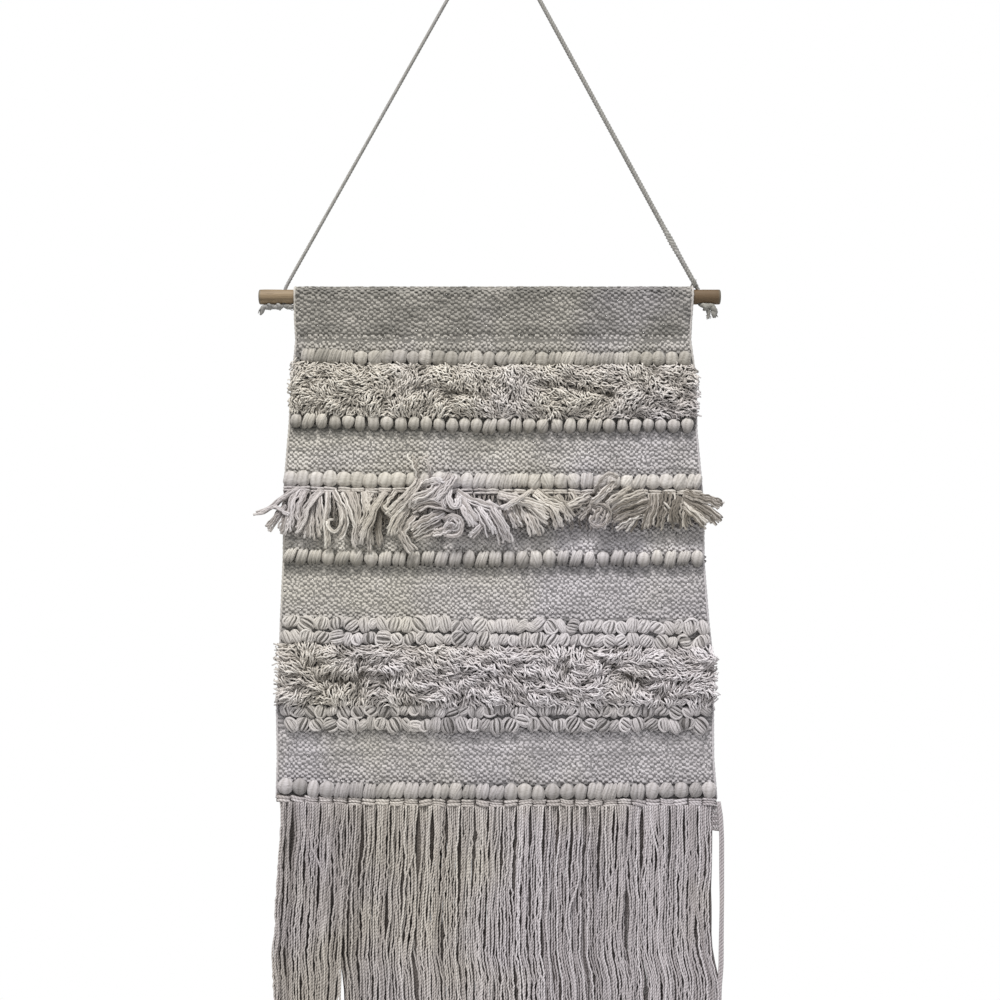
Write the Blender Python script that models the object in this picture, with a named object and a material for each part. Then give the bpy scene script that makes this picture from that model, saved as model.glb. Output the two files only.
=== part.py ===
"""A woven macrame wall hanging on a wooden rod, hung from a nail by one cotton cord.

Metres, +Z up. The origin is the point where the cord rests on its nail. X runs along the
rod to the right, and the front faces -Y. A drop is a depth below the rod's axis, and a
share across the cloth runs from 0 at its left edge to 1 at its right edge.
"""

import math
import random
from collections import namedtuple

import bmesh
import bpy
import numpy as np
from mathutils import Vector

FACE_GAP = 0.0005

# The rod, and the cord that goes down through a hole near each of its ends.
ROD_Z = -0.3888
ROD_RADIUS = 0.0075
ROD_LEFT = -0.2372
ROD_RIGHT = 0.2288
ROD_ROUNDING = 0.0012
ROD_SIDES = 28
HOLE_RADIUS = 0.0034
HOLE_SIDES = 12
HOLE_LEFT = -0.2122
HOLE_RIGHT = 0.2078

# The cord's route as seen from the front, from the left knot to the right one.
CordPoint = namedtuple("CordPoint", "x z radius")
CORD_ROUTE = (
    CordPoint(-0.2122, -0.3963, 0.00150),
    CordPoint(-0.2122, -0.3900, 0.00150),
    CordPoint(-0.2120, -0.3850, 0.00150),
    CordPoint(-0.2108, -0.3800, 0.00150),
    CordPoint(-0.2080, -0.3738, 0.00150),
    CordPoint(-0.1850, -0.3312, 0.00150),
    CordPoint(-0.1550, -0.2758, 0.00150),
    CordPoint(-0.1250, -0.2204, 0.00150),
    CordPoint(-0.0950, -0.1650, 0.00150),
    CordPoint(-0.0650, -0.1096, 0.00155),
    CordPoint(-0.0350, -0.0542, 0.00160),
    CordPoint(-0.0130, -0.0136, 0.00165),
    CordPoint(-0.0070, -0.0033, 0.00170),
    CordPoint(-0.0036, 0.0007, 0.00170),
    CordPoint(0.0002, 0.0020, 0.00170),
    CordPoint(0.0040, 0.0005, 0.00175),
    CordPoint(0.0074, -0.0036, 0.00180),
    CordPoint(0.0130, -0.0140, 0.00190),
    CordPoint(0.0350, -0.0559, 0.00205),
    CordPoint(0.0650, -0.1129, 0.00215),
    CordPoint(0.0950, -0.1700, 0.00220),
    CordPoint(0.1250, -0.2270, 0.00225),
    CordPoint(0.1550, -0.2841, 0.00230),
    CordPoint(0.1850, -0.3411, 0.00235),
    CordPoint(0.2026, -0.3738, 0.00215),
    CordPoint(0.2058, -0.3794, 0.00200),
    CordPoint(0.2074, -0.3840, 0.00190),
    CordPoint(0.2078, -0.3900, 0.00190),
    CordPoint(0.2078, -0.3963, 0.00190),
)
CORD_RADIUS = 0.0020
CORD_STEPS = 64

# The two knots below the rod, as lumpy lengths of tied cord.
KnotPoint = namedtuple("KnotPoint", "x drop radius")
LEFT_KNOT = (
    KnotPoint(-0.2052, 0.0098, 0.0009),
    KnotPoint(-0.2085, 0.0103, 0.0018),
    KnotPoint(-0.2130, 0.0112, 0.0030),
    KnotPoint(-0.2178, 0.0116, 0.0031),
    KnotPoint(-0.2225, 0.0118, 0.0026),
    KnotPoint(-0.2275, 0.0113, 0.0029),
    KnotPoint(-0.2325, 0.0116, 0.0031),
    KnotPoint(-0.2362, 0.0143, 0.0024),
    KnotPoint(-0.2376, 0.0172, 0.0011),
)
RIGHT_KNOT = (
    KnotPoint(0.2040, 0.0100, 0.0012),
    KnotPoint(0.2068, 0.0106, 0.0022),
    KnotPoint(0.2105, 0.0112, 0.0029),
    KnotPoint(0.2150, 0.0118, 0.0034),
    KnotPoint(0.2200, 0.0121, 0.0038),
    KnotPoint(0.2246, 0.0141, 0.0040),
    KnotPoint(0.2254, 0.0182, 0.0038),
    KnotPoint(0.2243, 0.0218, 0.0026),
)
KNOT_SIDES = 8

# The cloth: one panel whose top end folds back over the rod and is sewn down behind.
CLOTH_THICKNESS = 0.0030
POCKET_CLEARANCE = 0.0006
SEAM_DROP = 0.0389
HEM_DEPTH = 0.0070
CLOTH_BOTTOM = 0.5005
CLOTH_COLUMNS = 25
POCKET_ARC_STEPS = 9
Edge = namedtuple("Edge", "drop left right")
EDGES = (
    Edge(-0.0110, -0.2013, 0.2010),
    Edge(0.0000, -0.2009, 0.2008),
    Edge(0.0250, -0.2009, 0.1994),
    Edge(0.0440, -0.2001, 0.1988),
    Edge(0.0850, -0.2036, 0.2042),
    Edge(0.1350, -0.2062, 0.2040),
    Edge(0.1860, -0.2098, 0.2080),
    Edge(0.2200, -0.2102, 0.2100),
    Edge(0.2660, -0.2101, 0.2095),
    Edge(0.3260, -0.2121, 0.2135),
    Edge(0.3700, -0.2128, 0.2180),
    Edge(0.4140, -0.2150, 0.2172),
    Edge(0.4600, -0.2136, 0.2168),
    Edge(CLOTH_BOTTOM, -0.2142, 0.2196),
)
PANEL_DROPS = (
    0.0520, 0.0850, 0.1250, 0.1600, 0.2000, 0.2400,
    0.2850, 0.3260, 0.3700, 0.4140, 0.4600, CLOTH_BOTTOM,
)

# The panel hangs in shallow waves. They start below the seam and grow downwards.
Wave = namedtuple("Wave", "depth length shift lean")
WAVES = (
    Wave(0.0014, 0.310, 0.6, 1.5),
    Wave(0.0007, 0.137, 2.1, -4.0),
)
WAVES_START = 0.045
WAVES_FULL = 0.320

# Rows laid in across the face: drops of the row's middle line at four places across.
ROW_PLACES = (0.0, 0.14, 0.5, 1.0)
Row = namedtuple("Row", "name left near_left middle right start end lumps height depth waist")
# A row's outline goes round from its flat back, in shares of its depth and half its height.
ROW_OUTLINE = ((0.0, -0.84), (0.66, -1.0), (1.0, 0.0), (0.66, 1.0), (0.0, 0.84))
ROW_LUMP_LEAST = 0.94
ROW_LUMP_LIMIT = 1.06
ROWS = (
    Row("roving_row_1", 0.0603, 0.0622, 0.0640, 0.0640, 0.020, 0.998, 30, 0.0132, 0.0074, 0.62),
    Row("roving_row_2", 0.1248, 0.1285, 0.1314, 0.1314, 0.004, 0.996, 31, 0.0158, 0.0078, 0.62),
    Row("roving_row_3", 0.1843, 0.1855, 0.1873, 0.1885, 0.004, 0.996, 31, 0.0146, 0.0080, 0.70),
    Row("roving_row_4", 0.2612, 0.2640, 0.2650, 0.2648, 0.002, 0.998, 31, 0.0164, 0.0080, 0.60),
    Row("roving_row_5", 0.4865, 0.4915, 0.4936, 0.4915, 0.006, 0.994, 31, 0.0152, 0.0082, 0.66),
    Row("loop_row_1", 0.3288, 0.3292, 0.3312, 0.3334, 0.006, 0.994, 40, 0.0128, 0.0066, 0.72),
    Row("loop_row_2", 0.3424, 0.3430, 0.3450, 0.3472, 0.004, 0.996, 40, 0.0128, 0.0066, 0.72),
    Row("loop_row_3", 0.4140, 0.4144, 0.4144, 0.4144, 0.004, 0.990, 40, 0.0114, 0.0064, 0.72),
    Row("loop_row_4", 0.4262, 0.4275, 0.4275, 0.4275, 0.016, 0.984, 40, 0.0128, 0.0066, 0.72),
)

# Pile: a lumpy slab between two rows, with locks that stick out at its rim.
Shag = namedtuple("Shag", "name row_above row_below depth lump overhang seed")
SHAGS = (
    Shag("shag_upper", "roving_row_1", "roving_row_2", 0.0105, 0.0026, 0.0042, 11),
    Shag("shag_lower", "loop_row_2", "loop_row_3", 0.0112, 0.0030, 0.0036, 23),
)
SHAG_COLUMNS = 32
SHAG_LEVELS = 5
SHAG_MARGIN = 0.0006
RIM_SHARE = 0.72
RIM_LUMP_SHARE = 0.4
HANGING_LENGTH = 0.0075
HANGING_FORWARD = 0.0045
HANGING_SIZES = ((0.0090, 0.0040), (0.0040, 0.0022))
SIDE_SIZES = ((0.0066, 0.0074), (0.0034, 0.0038))

# The middle fringe: a bar of knots under the third row. A thick lock starts in front of the
# bar and a thinner one below it, by turns. A lean is how far a lock's tip goes from its root.
MIDDLE_BAR_GAP = 0.0006
MIDDLE_BAR_HEIGHT = 0.0050
MIDDLE_BAR_DEPTH = 0.0056
MIDDLE_LOCKS = 34
FRONT_SHARE = 0.61
FRONT_LOCK_SIZES = ((0.0078, 0.0046), (0.0082, 0.0052), (0.0042, 0.0028))
UNDER_LOCK_SIZES = ((0.0062, 0.0040), (0.0036, 0.0026))
LOCK_SIDEWAYS = (0.22, 0.62, 1.0)
LOCK_FORWARD = (0.62, 1.0, 0.78)
LOCK_DOWN = (0.16, 0.56, 1.0)
Lean = namedtuple("Lean", "across sideways forward down")
LEANS = (
    Lean(0.00, -0.0240, 0.011, 0.020),
    Lean(0.05, -0.0100, 0.012, 0.036),
    Lean(0.12, -0.0020, 0.012, 0.044),
    Lean(0.19, 0.0000, 0.013, 0.045),
    Lean(0.27, -0.0040, 0.016, 0.046),
    Lean(0.33, -0.0020, 0.018, 0.028),
    Lean(0.40, 0.0040, 0.019, 0.024),
    Lean(0.50, 0.0110, 0.018, 0.030),
    Lean(0.60, 0.0120, 0.017, 0.040),
    Lean(0.70, 0.0080, 0.016, 0.044),
    Lean(0.78, 0.0040, 0.017, 0.030),
    Lean(0.86, 0.0060, 0.018, 0.026),
    Lean(0.95, 0.0120, 0.017, 0.028),
    Lean(1.00, 0.0190, 0.015, 0.020),
)
UNDER_LOCK_LEAST = 0.030
TUFT_PLACE = 0.318
TUFT_HALF_WIDTH = 0.031
TUFT_RISE = 0.027

# The long fringe: a bar of knots below the panel. Strands start in front of the bar and
# below it by turns, which gives two staggered curtains.
LONG_BAR_TOP = 0.5017
LONG_BAR_HEIGHT = 0.0066
LONG_BAR_DEPTH = 0.0062
LONG_STRANDS = 61
FRONT_STRAND_SIZES = ((0.0050, 0.0034), (0.0054, 0.0038), (0.0044, 0.0030))
BACK_STRAND_SIZES = ((0.0052, 0.0036), (0.0042, 0.0030))
FRONT_STRAND_PLACES = (-0.0084, -0.0052, -0.0048)
BACK_STRAND_PLACES = (0.0008, 0.0006)
FRONT_STRAND_START = 0.0095
BACK_STRAND_START = 0.0520
FRINGE_MIDDLE = 0.5860
FRINGE_END = 0.7720
FRINGE_UNEVEN = 0.0050
STRAND_SWAY = 0.0005
Spread = namedtuple("Spread", "drop left right")
FRINGE_SPREAD = (
    Spread(0.5080, -0.2100, 0.2136),
    Spread(0.5300, -0.2104, 0.2130),
    Spread(0.5860, -0.2128, 0.2116),
    Spread(0.6320, -0.2143, 0.2112),
    Spread(0.7720, -0.2128, 0.2122),
)
OuterPoint = namedtuple("OuterPoint", "x drop width")
TAB = (OuterPoint(0.2170, 0.5080, 0.0044), OuterPoint(0.2166, 0.5290, 0.0048))
OUTER_STRAND = (
    OuterPoint(0.2218, 0.5080, 0.0034),
    OuterPoint(0.2240, 0.5340, 0.0036),
    OuterPoint(0.2236, 0.6100, 0.0036),
    OuterPoint(0.2226, 0.6700, 0.0036),
    OuterPoint(0.2186, 0.7680, 0.0030),
)
OUTER_DEPTH = 0.0034

Finish = namedtuple("Finish", "red green blue roughness")
FINISHES = {
    "wood": Finish(0.42, 0.29, 0.17, 0.55),
    "ground_cloth": Finish(0.50, 0.49, 0.45, 0.90),
    "roving": Finish(0.62, 0.60, 0.53, 0.85),
    "pile_yarn": Finish(0.50, 0.44, 0.39, 0.95),
    "fringe_yarn": Finish(0.50, 0.46, 0.45, 0.92),
    "cord": Finish(0.46, 0.46, 0.45, 0.88),
}


def clear_scene():
    """Removes the objects that a new file opens with."""
    for old in list(bpy.data.objects):
        bpy.data.objects.remove(old, do_unlink=True)


def material(name):
    """The Principled material of that finish, made once."""
    made = bpy.data.materials.get(name)
    if made:
        return made
    finish = FINISHES[name]
    made = bpy.data.materials.new(name)
    made.use_nodes = True
    shader = made.node_tree.nodes["Principled BSDF"]
    shader.inputs["Base Color"].default_value = (finish.red, finish.green, finish.blue, 1.0)
    shader.inputs["Roughness"].default_value = finish.roughness
    shader.inputs["Metallic"].default_value = 0.0
    return made


def add_object(name, data, finish):
    """Links one object that holds this mesh or curve and wears this finish."""
    made = bpy.data.objects.new(name, data)
    made.data.materials.append(material(finish))
    bpy.context.scene.collection.objects.link(made)
    return made


def mesh_object(name, shape, finish):
    """One object from a finished bmesh, with its faces turned outwards."""
    bmesh.ops.recalc_face_normals(shape, faces=shape.faces)
    mesh = bpy.data.meshes.new(name)
    shape.to_mesh(mesh)
    shape.free()
    mesh.shade_smooth()
    mesh.set_sharp_from_angle(angle=math.radians(50))
    return add_object(name, mesh, finish)


def blend(value, start, end):
    """0 before start, 1 after end, and a smooth rise between."""
    t = min(1.0, max(0.0, (value - start) / (end - start)))
    return t * t * (3 - 2 * t)


def height(drop):
    """The Z of a point at this drop below the rod's axis."""
    return ROD_Z - drop


def edge_x(drop, across):
    """The X of a share of the cloth's width at this drop."""
    drops = [edge.drop for edge in EDGES]
    left = np.interp(drop, drops, [edge.left for edge in EDGES])
    right = np.interp(drop, drops, [edge.right for edge in EDGES])
    return float(left + (right - left) * across)


def cloth_middle(x, drop):
    """The Y of the middle of the panel's thickness, in its shallow waves."""
    grown = blend(drop, WAVES_START, WAVES_FULL)
    total = 0.0
    for wave in WAVES:
        total += wave.depth * math.sin(2 * math.pi * x / wave.length + wave.shift + wave.lean * drop)
    return grown * total


def cloth_front(x, drop):
    """The Y just in front of the panel's face, where a piece laid on it starts."""
    return cloth_middle(x, drop) - CLOTH_THICKNESS / 2 - FACE_GAP


def ring_faces(shape, first, second):
    """Joins two rings of as many points with quads."""
    count = len(first)
    for i in range(count):
        j = (i + 1) % count
        shape.faces.new((first[i], first[j], second[j], second[i]))


def loft(shape, rings):
    """A closed body through rings of points, with a flat face on each end."""
    rows = [[shape.verts.new(point) for point in ring] for ring in rings]
    for first, second in zip(rows, rows[1:]):
        ring_faces(shape, first, second)
    shape.faces.new(rows[0])
    shape.faces.new(rows[-1])
    return rows


def centre_of(corners):
    """The middle of an open quad."""
    return sum((corner.co for corner in corners), Vector()) / len(corners)


def stepped(corners, steps):
    """A path given by its steps away from the middle of an open quad."""
    return [centre_of(corners) + Vector(step) for step in steps]


def grow(shape, corners, path, sizes):
    """Grows a closed four-sided lock from an open quad along a path.

    The corners run round the quad. The sizes are the width along the quad's first side and
    the depth across it, at each point of the path.
    """
    centre = centre_of(corners)
    side = (corners[1].co - corners[0].co).normalized()
    across = corners[0].co - corners[3].co
    points = [centre] + [Vector(point) for point in path]
    sign = 1 if (points[1] - points[0]).cross(side).dot(across) > 0 else -1
    previous = corners
    for i, (width, depth) in enumerate(sizes, start=1):
        ahead = (points[min(i + 1, len(path))] - points[i - 1]).normalized()
        side = (side - ahead * side.dot(ahead)).normalized()
        out = sign * ahead.cross(side)
        half_side, half_out = side * width / 2, out * depth / 2
        spots = (half_out - half_side, half_out + half_side, half_side - half_out, -half_out - half_side)
        ring = [shape.verts.new(points[i] + spot) for spot in spots]
        ring_faces(shape, previous, ring)
        previous = ring
    shape.faces.new(previous)


def make_rod():
    """The rod, with rounded rims and an upright hole near each end for the cord."""
    length = ROD_RIGHT - ROD_LEFT
    shape = bmesh.new()
    rim = ROD_ROUNDING * (1 - math.sqrt(0.5))
    profile = (
        (0.0, ROD_RADIUS - ROD_ROUNDING),
        (rim, ROD_RADIUS - rim),
        (ROD_ROUNDING, ROD_RADIUS),
        (length - ROD_ROUNDING, ROD_RADIUS),
        (length - rim, ROD_RADIUS - rim),
        (length, ROD_RADIUS - ROD_ROUNDING),
    )
    rings = []
    for along, radius in profile:
        ring = []
        for i in range(ROD_SIDES):
            angle = 2 * math.pi * i / ROD_SIDES
            ring.append((ROD_LEFT + along, radius * math.cos(angle), radius * math.sin(angle)))
        rings.append(ring)
    loft(shape, rings)
    rod = mesh_object("rod", shape, "wood")
    rod.location.z = ROD_Z
    for name, x in (("left", HOLE_LEFT), ("right", HOLE_RIGHT)):
        cut_hole(rod, name, x)
    return rod


def cut_hole(rod, name, x):
    """Drills an upright hole through the rod at this X."""
    shape = bmesh.new()
    bmesh.ops.create_cone(
        shape,
        cap_ends=True,
        segments=HOLE_SIDES,
        radius1=HOLE_RADIUS,
        radius2=HOLE_RADIUS,
        depth=4 * ROD_RADIUS,
    )
    drill = mesh_object("drill_" + name, shape, "wood")
    drill.location = (x, 0, ROD_Z)
    drill.hide_render = True
    drill.display_type = "WIRE"
    cut = rod.modifiers.new("hole_" + name, "BOOLEAN")
    cut.operation = "DIFFERENCE"
    cut.object = drill


def smooth_route(points, count):
    """Points at even steps along a Catmull-Rom curve through a route."""
    knots = np.array(points, float)
    knots = np.vstack([2 * knots[0] - knots[1], knots, 2 * knots[-1] - knots[-2]])
    fine = []
    for before, start, end, after in zip(knots, knots[1:], knots[2:], knots[3:]):
        for t in np.linspace(0, 1, 12, endpoint=False):
            pull = (end - before) * t + (2 * before - 5 * start + 4 * end - after) * t**2
            turn = (3 * start - before - 3 * end + after) * t**3
            fine.append(start + 0.5 * (pull + turn))
    fine.append(knots[-2])
    fine = np.array(fine)
    steps = np.linalg.norm(np.diff(fine[:, :2], axis=0), axis=1)
    along = np.concatenate([[0], np.cumsum(steps)])
    places = np.linspace(0, along[-1], count)
    return np.stack([np.interp(places, along, column) for column in fine.T], axis=1)


def make_cord():
    """The hanging cord, from the left knot up over the nail and down to the right knot."""
    route = smooth_route(CORD_ROUTE, CORD_STEPS)
    curve = bpy.data.curves.new("hanging_cord", "CURVE")
    curve.dimensions = "3D"
    curve.bevel_depth = CORD_RADIUS
    curve.bevel_resolution = 2
    curve.use_fill_caps = True
    spline = curve.splines.new("POLY")
    spline.points.add(CORD_STEPS - 1)
    for point, (x, z, radius) in zip(spline.points, route):
        point.co = (x, 0, z, 1)
        point.radius = radius / CORD_RADIUS
    return add_object("hanging_cord", curve, "cord")


def knot_rings(points):
    """Rings square to the line of a knot's points."""
    places = [Vector((point.x, 0, height(point.drop))) for point in points]
    back = Vector((0, 1, 0))
    rings = []
    for i, point in enumerate(points):
        ahead = places[min(i + 1, len(places) - 1)] - places[max(i - 1, 0)]
        up = ahead.normalized().cross(back)
        ring = []
        for k in range(KNOT_SIDES):
            angle = 2 * math.pi * k / KNOT_SIDES
            spoke = math.cos(angle) * up + math.sin(angle) * back
            ring.append(places[i] + point.radius * spoke)
        rings.append(ring)
    return rings


def make_knot(name, points):
    """One tied end of the cord, below the rod."""
    shape = bmesh.new()
    loft(shape, knot_rings(points))
    return mesh_object(name, shape, "cord")


def pocket_section():
    """Pairs of an inner and an outer point round the rod, from the seam in front to the seam behind.

    A point is a Y and a drop. The two straight legs run from the seam to where they touch
    the round of the rod.
    """
    inner = ROD_RADIUS + POCKET_CLEARANCE
    slope = math.asin(inner / SEAM_DROP)
    out = Vector((-math.cos(slope), math.sin(slope)))
    seam = Vector((0, SEAM_DROP))
    legs = [(seam, seam + out * CLOTH_THICKNESS)]
    halfway = seam.lerp(out * inner, 0.5)
    legs.append((halfway, halfway + out * CLOTH_THICKNESS))
    turn = math.pi + 2 * slope
    arc = []
    for i in range(POCKET_ARC_STEPS + 1):
        angle = turn * i / POCKET_ARC_STEPS - slope
        spoke = Vector((-math.cos(angle), -math.sin(angle)))
        arc.append((spoke * inner, spoke * (inner + CLOTH_THICKNESS)))
    behind = [(Vector((-a.x, a.y)), Vector((-b.x, b.y))) for a, b in reversed(legs)]
    return legs + arc + behind


def panel_section():
    """Pairs of a front and a back point down the panel, the hem behind the seam first."""
    half = CLOTH_THICKNESS / 2
    hem = SEAM_DROP + HEM_DEPTH
    rows = [(Vector((-1.2 * half, hem)), Vector((2.0 * half, hem)))]
    rows += [(Vector((-half, drop)), Vector((half, drop))) for drop in PANEL_DROPS]
    return rows


def make_cloth():
    """The woven cloth: a pocket round the rod, closed by a seam, and the panel below it."""
    shape = bmesh.new()
    pocket, panel = pocket_section(), panel_section()

    def placed(point, across):
        """The vertex of a section's point at this share across."""
        x = edge_x(point.y, across)
        return shape.verts.new((x, point.x + cloth_middle(x, point.y), height(point.y)))

    stations = []
    for i in range(CLOTH_COLUMNS):
        across = i / (CLOTH_COLUMNS - 1)
        inner = [placed(pair[0], across) for pair in pocket[:-1]]
        outer = [placed(pair[1], across) for pair in pocket]
        front = [placed(pair[0], across) for pair in panel]
        back = [placed(pair[1], across) for pair in panel]
        stations.append((inner, outer, front, back))
    for one, two in zip(stations, stations[1:]):
        ring_faces(shape, one[0], two[0])
        outlines = [front[::-1] + outer + back for _, outer, front, back in (one, two)]
        ring_faces(shape, *outlines)
    for inner, outer, front, back in (stations[0], stations[-1]):
        inner = inner + inner[:1]
        for k in range(len(outer) - 1):
            shape.faces.new((outer[k], outer[k + 1], inner[k + 1], inner[k]))
        shape.faces.new((outer[0], inner[0], outer[-1], back[0], front[0]))
        for k in range(len(front) - 1):
            shape.faces.new((front[k], back[k], back[k + 1], front[k + 1]))
    return mesh_object("cloth", shape, "ground_cloth")


def row_drop(row, across):
    """The drop of a row's middle line at this share across."""
    return float(np.interp(across, ROW_PLACES, (row.left, row.near_left, row.middle, row.right)))


def make_row(row):
    """One laid-in row: a rope with a lump for each bead or loop and a flat back."""
    shape = bmesh.new()
    chance = random.Random(row.name)
    rings = []
    for i in range(2 * row.lumps + 1):
        at_lump = i % 2
        across = row.start + (row.end - row.start) * i / (2 * row.lumps)
        size = chance.uniform(ROW_LUMP_LEAST, ROW_LUMP_LIMIT)
        if not at_lump:
            size *= row.waist
        drop = row_drop(row, across)
        x = edge_x(drop, across)
        back = cloth_front(x, drop)
        half, depth = row.height / 2 * size, row.depth * size
        rings.append([(x, back - depth * out, height(drop + half * down)) for out, down in ROW_OUTLINE])
    loft(shape, rings)
    finish = "roving" if row.name.startswith("roving") else "pile_yarn"
    return mesh_object(row.name, shape, finish)


def shag_limits(shag, across):
    """The drops of a slab's upper and lower edges, just clear of the rows beside it."""
    rows = {row.name: row for row in ROWS}
    above, below = rows[shag.row_above], rows[shag.row_below]
    reach = 0.5 * ROW_LUMP_LIMIT
    top = row_drop(above, across) + above.height * reach + SHAG_MARGIN
    bottom = row_drop(below, across) - below.height * reach - SHAG_MARGIN
    return top, bottom


def make_shag(shag):
    """One band of pile: a lumpy slab, with locks hanging from its lower rim and out at its sides."""
    shape = bmesh.new()
    chance = random.Random(shag.seed)
    last = SHAG_COLUMNS - 1
    columns = []
    for i in range(SHAG_COLUMNS):
        across = i / last
        top, bottom = shag_limits(shag, across)
        front, back = [], []
        for level in range(SHAG_LEVELS):
            drop = top + (bottom - top) * level / (SHAG_LEVELS - 1)
            x = edge_x(drop, across)
            thick = shag.depth + chance.uniform(-1, 1) * shag.lump
            if level in (0, SHAG_LEVELS - 1):
                thick = shag.depth * RIM_SHARE + chance.uniform(-1, 1) * shag.lump * RIM_LUMP_SHARE
            face = cloth_front(x, drop)
            back.append(shape.verts.new((x, face, height(drop))))
            front.append(shape.verts.new((x, face - thick, height(drop))))
        columns.append((front, back))
    hanging = []
    for i, ((front_a, back_a), (front_b, back_b)) in enumerate(zip(columns, columns[1:])):
        for k in range(SHAG_LEVELS - 1):
            shape.faces.new((back_a[k], back_b[k], back_b[k + 1], back_a[k + 1]))
            corners = (front_a[k], front_b[k], front_b[k + 1], front_a[k + 1])
            if k == SHAG_LEVELS - 2 and i % 2 == 0:
                hanging.append(corners)
            else:
                shape.faces.new(corners)
        shape.faces.new((front_a[0], front_b[0], back_b[0], back_a[0]))
        shape.faces.new((front_a[-1], front_b[-1], back_b[-1], back_a[-1]))
    for corners in hanging:
        length = HANGING_LENGTH * chance.uniform(0.8, 1.25)
        lean = chance.uniform(-0.3, 0.3) * length
        steps = ((0.4 * lean, -0.8 * HANGING_FORWARD, -0.3 * length), (lean, -HANGING_FORWARD, -length))
        grow(shape, corners, stepped(corners, steps), HANGING_SIZES)
    for sign, (front, back) in ((-1, columns[0]), (1, columns[-1])):
        for k in range(SHAG_LEVELS - 1):
            corners = (front[k], back[k], back[k + 1], front[k + 1])
            length = shag.overhang * chance.uniform(0.7, 1.4)
            steps = ((0.5 * sign * length, -0.0006, -0.0004), (sign * length, -0.0010, -0.0012))
            grow(shape, corners, stepped(corners, steps), SIDE_SIZES)
    return mesh_object(shag.name, shape, "pile_yarn")


def bar_section(x, back, depth, top, tall):
    """The four corners of a bar of knots, from its upper back one round by the front."""
    front, bottom = back - depth, top + tall
    return [(x, y, height(drop)) for y, drop in ((back, top), (front, top), (front, bottom), (back, bottom))]


def knot_bar(shape, sections, open_front, open_bottom):
    """A bar through four-cornered sections, left open where locks grow from it.

    Returns the open quads of the front and of the bottom, by the number of their cell.
    """
    rows = [[shape.verts.new(point) for point in section] for section in sections]
    fronts, bottoms = {}, {}
    for i, (one, two) in enumerate(zip(rows, rows[1:])):
        shape.faces.new((one[0], one[1], two[1], two[0]))
        shape.faces.new((one[3], two[3], two[0], one[0]))
        front = (one[1], two[1], two[2], one[2])
        bottom = (one[2], two[2], two[3], one[3])
        if i in open_front:
            fronts[i] = front
        else:
            shape.faces.new(front)
        if i in open_bottom:
            bottoms[i] = bottom
        else:
            shape.faces.new(bottom)
    shape.faces.new(rows[0])
    shape.faces.new(rows[-1])
    return fronts, bottoms


def staggered(count, share):
    """Shares across for the edges of cells that are wide and narrow by turns."""
    pitch = 1 / (count - 1 + share)
    edges = []
    for i in range(count):
        edges += [i * pitch, (i + share) * pitch]
    return edges


def lean_at(across):
    """How far a lock of the middle fringe goes sideways, forward and down."""
    places = [lean.across for lean in LEANS]
    return [float(np.interp(across, places, column)) for column in list(zip(*LEANS))[1:]]


def make_middle_fringe():
    """The middle fringe, whose locks hang, swirl and stand up as they were brushed."""
    shape = bmesh.new()
    chance = random.Random(5)
    row = ROWS[2]
    edges = staggered(MIDDLE_LOCKS, FRONT_SHARE)
    sections = []
    for across in edges:
        top = row_drop(row, across) + row.height * 0.5 * ROW_LUMP_LIMIT + MIDDLE_BAR_GAP
        x = edge_x(top, across)
        back = cloth_front(x, top)
        sections.append(bar_section(x, back, MIDDLE_BAR_DEPTH, top, MIDDLE_BAR_HEIGHT))
    cells = range(len(edges) - 1)
    fronts, bottoms = knot_bar(shape, sections, set(cells[::2]), set(cells[1::2]))
    for cell, corners in fronts.items():
        across = (edges[cell] + edges[cell + 1]) / 2
        sideways, forward, down = lean_at(across)
        if abs(across - TUFT_PLACE) < TUFT_HALF_WIDTH:
            down = -TUFT_RISE
        down *= chance.uniform(0.86, 1.08)
        forward *= chance.uniform(0.85, 1.1)
        shares = zip(LOCK_SIDEWAYS, LOCK_FORWARD, LOCK_DOWN)
        steps = [(sideways * a, -forward * b, -down * c) for a, b, c in shares]
        grow(shape, corners, stepped(corners, steps), FRONT_LOCK_SIZES)
    for cell, corners in bottoms.items():
        across = (edges[cell] + edges[cell + 1]) / 2
        sideways, _, down = lean_at(across)
        down = max(down, UNDER_LOCK_LEAST) * chance.uniform(0.85, 1.0)
        steps = ((0.2 * sideways, 0.0, -0.4 * down), (0.6 * sideways, -0.0010, -down))
        grow(shape, corners, stepped(corners, steps), UNDER_LOCK_SIZES)
    return mesh_object("middle_fringe", shape, "fringe_yarn")


def fringe_x(drop, across):
    """The X of a share of the long fringe's width at this drop."""
    drops = [spread.drop for spread in FRINGE_SPREAD]
    left = np.interp(drop, drops, [spread.left for spread in FRINGE_SPREAD])
    right = np.interp(drop, drops, [spread.right for spread in FRINGE_SPREAD])
    return float(left + (right - left) * across)


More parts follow.
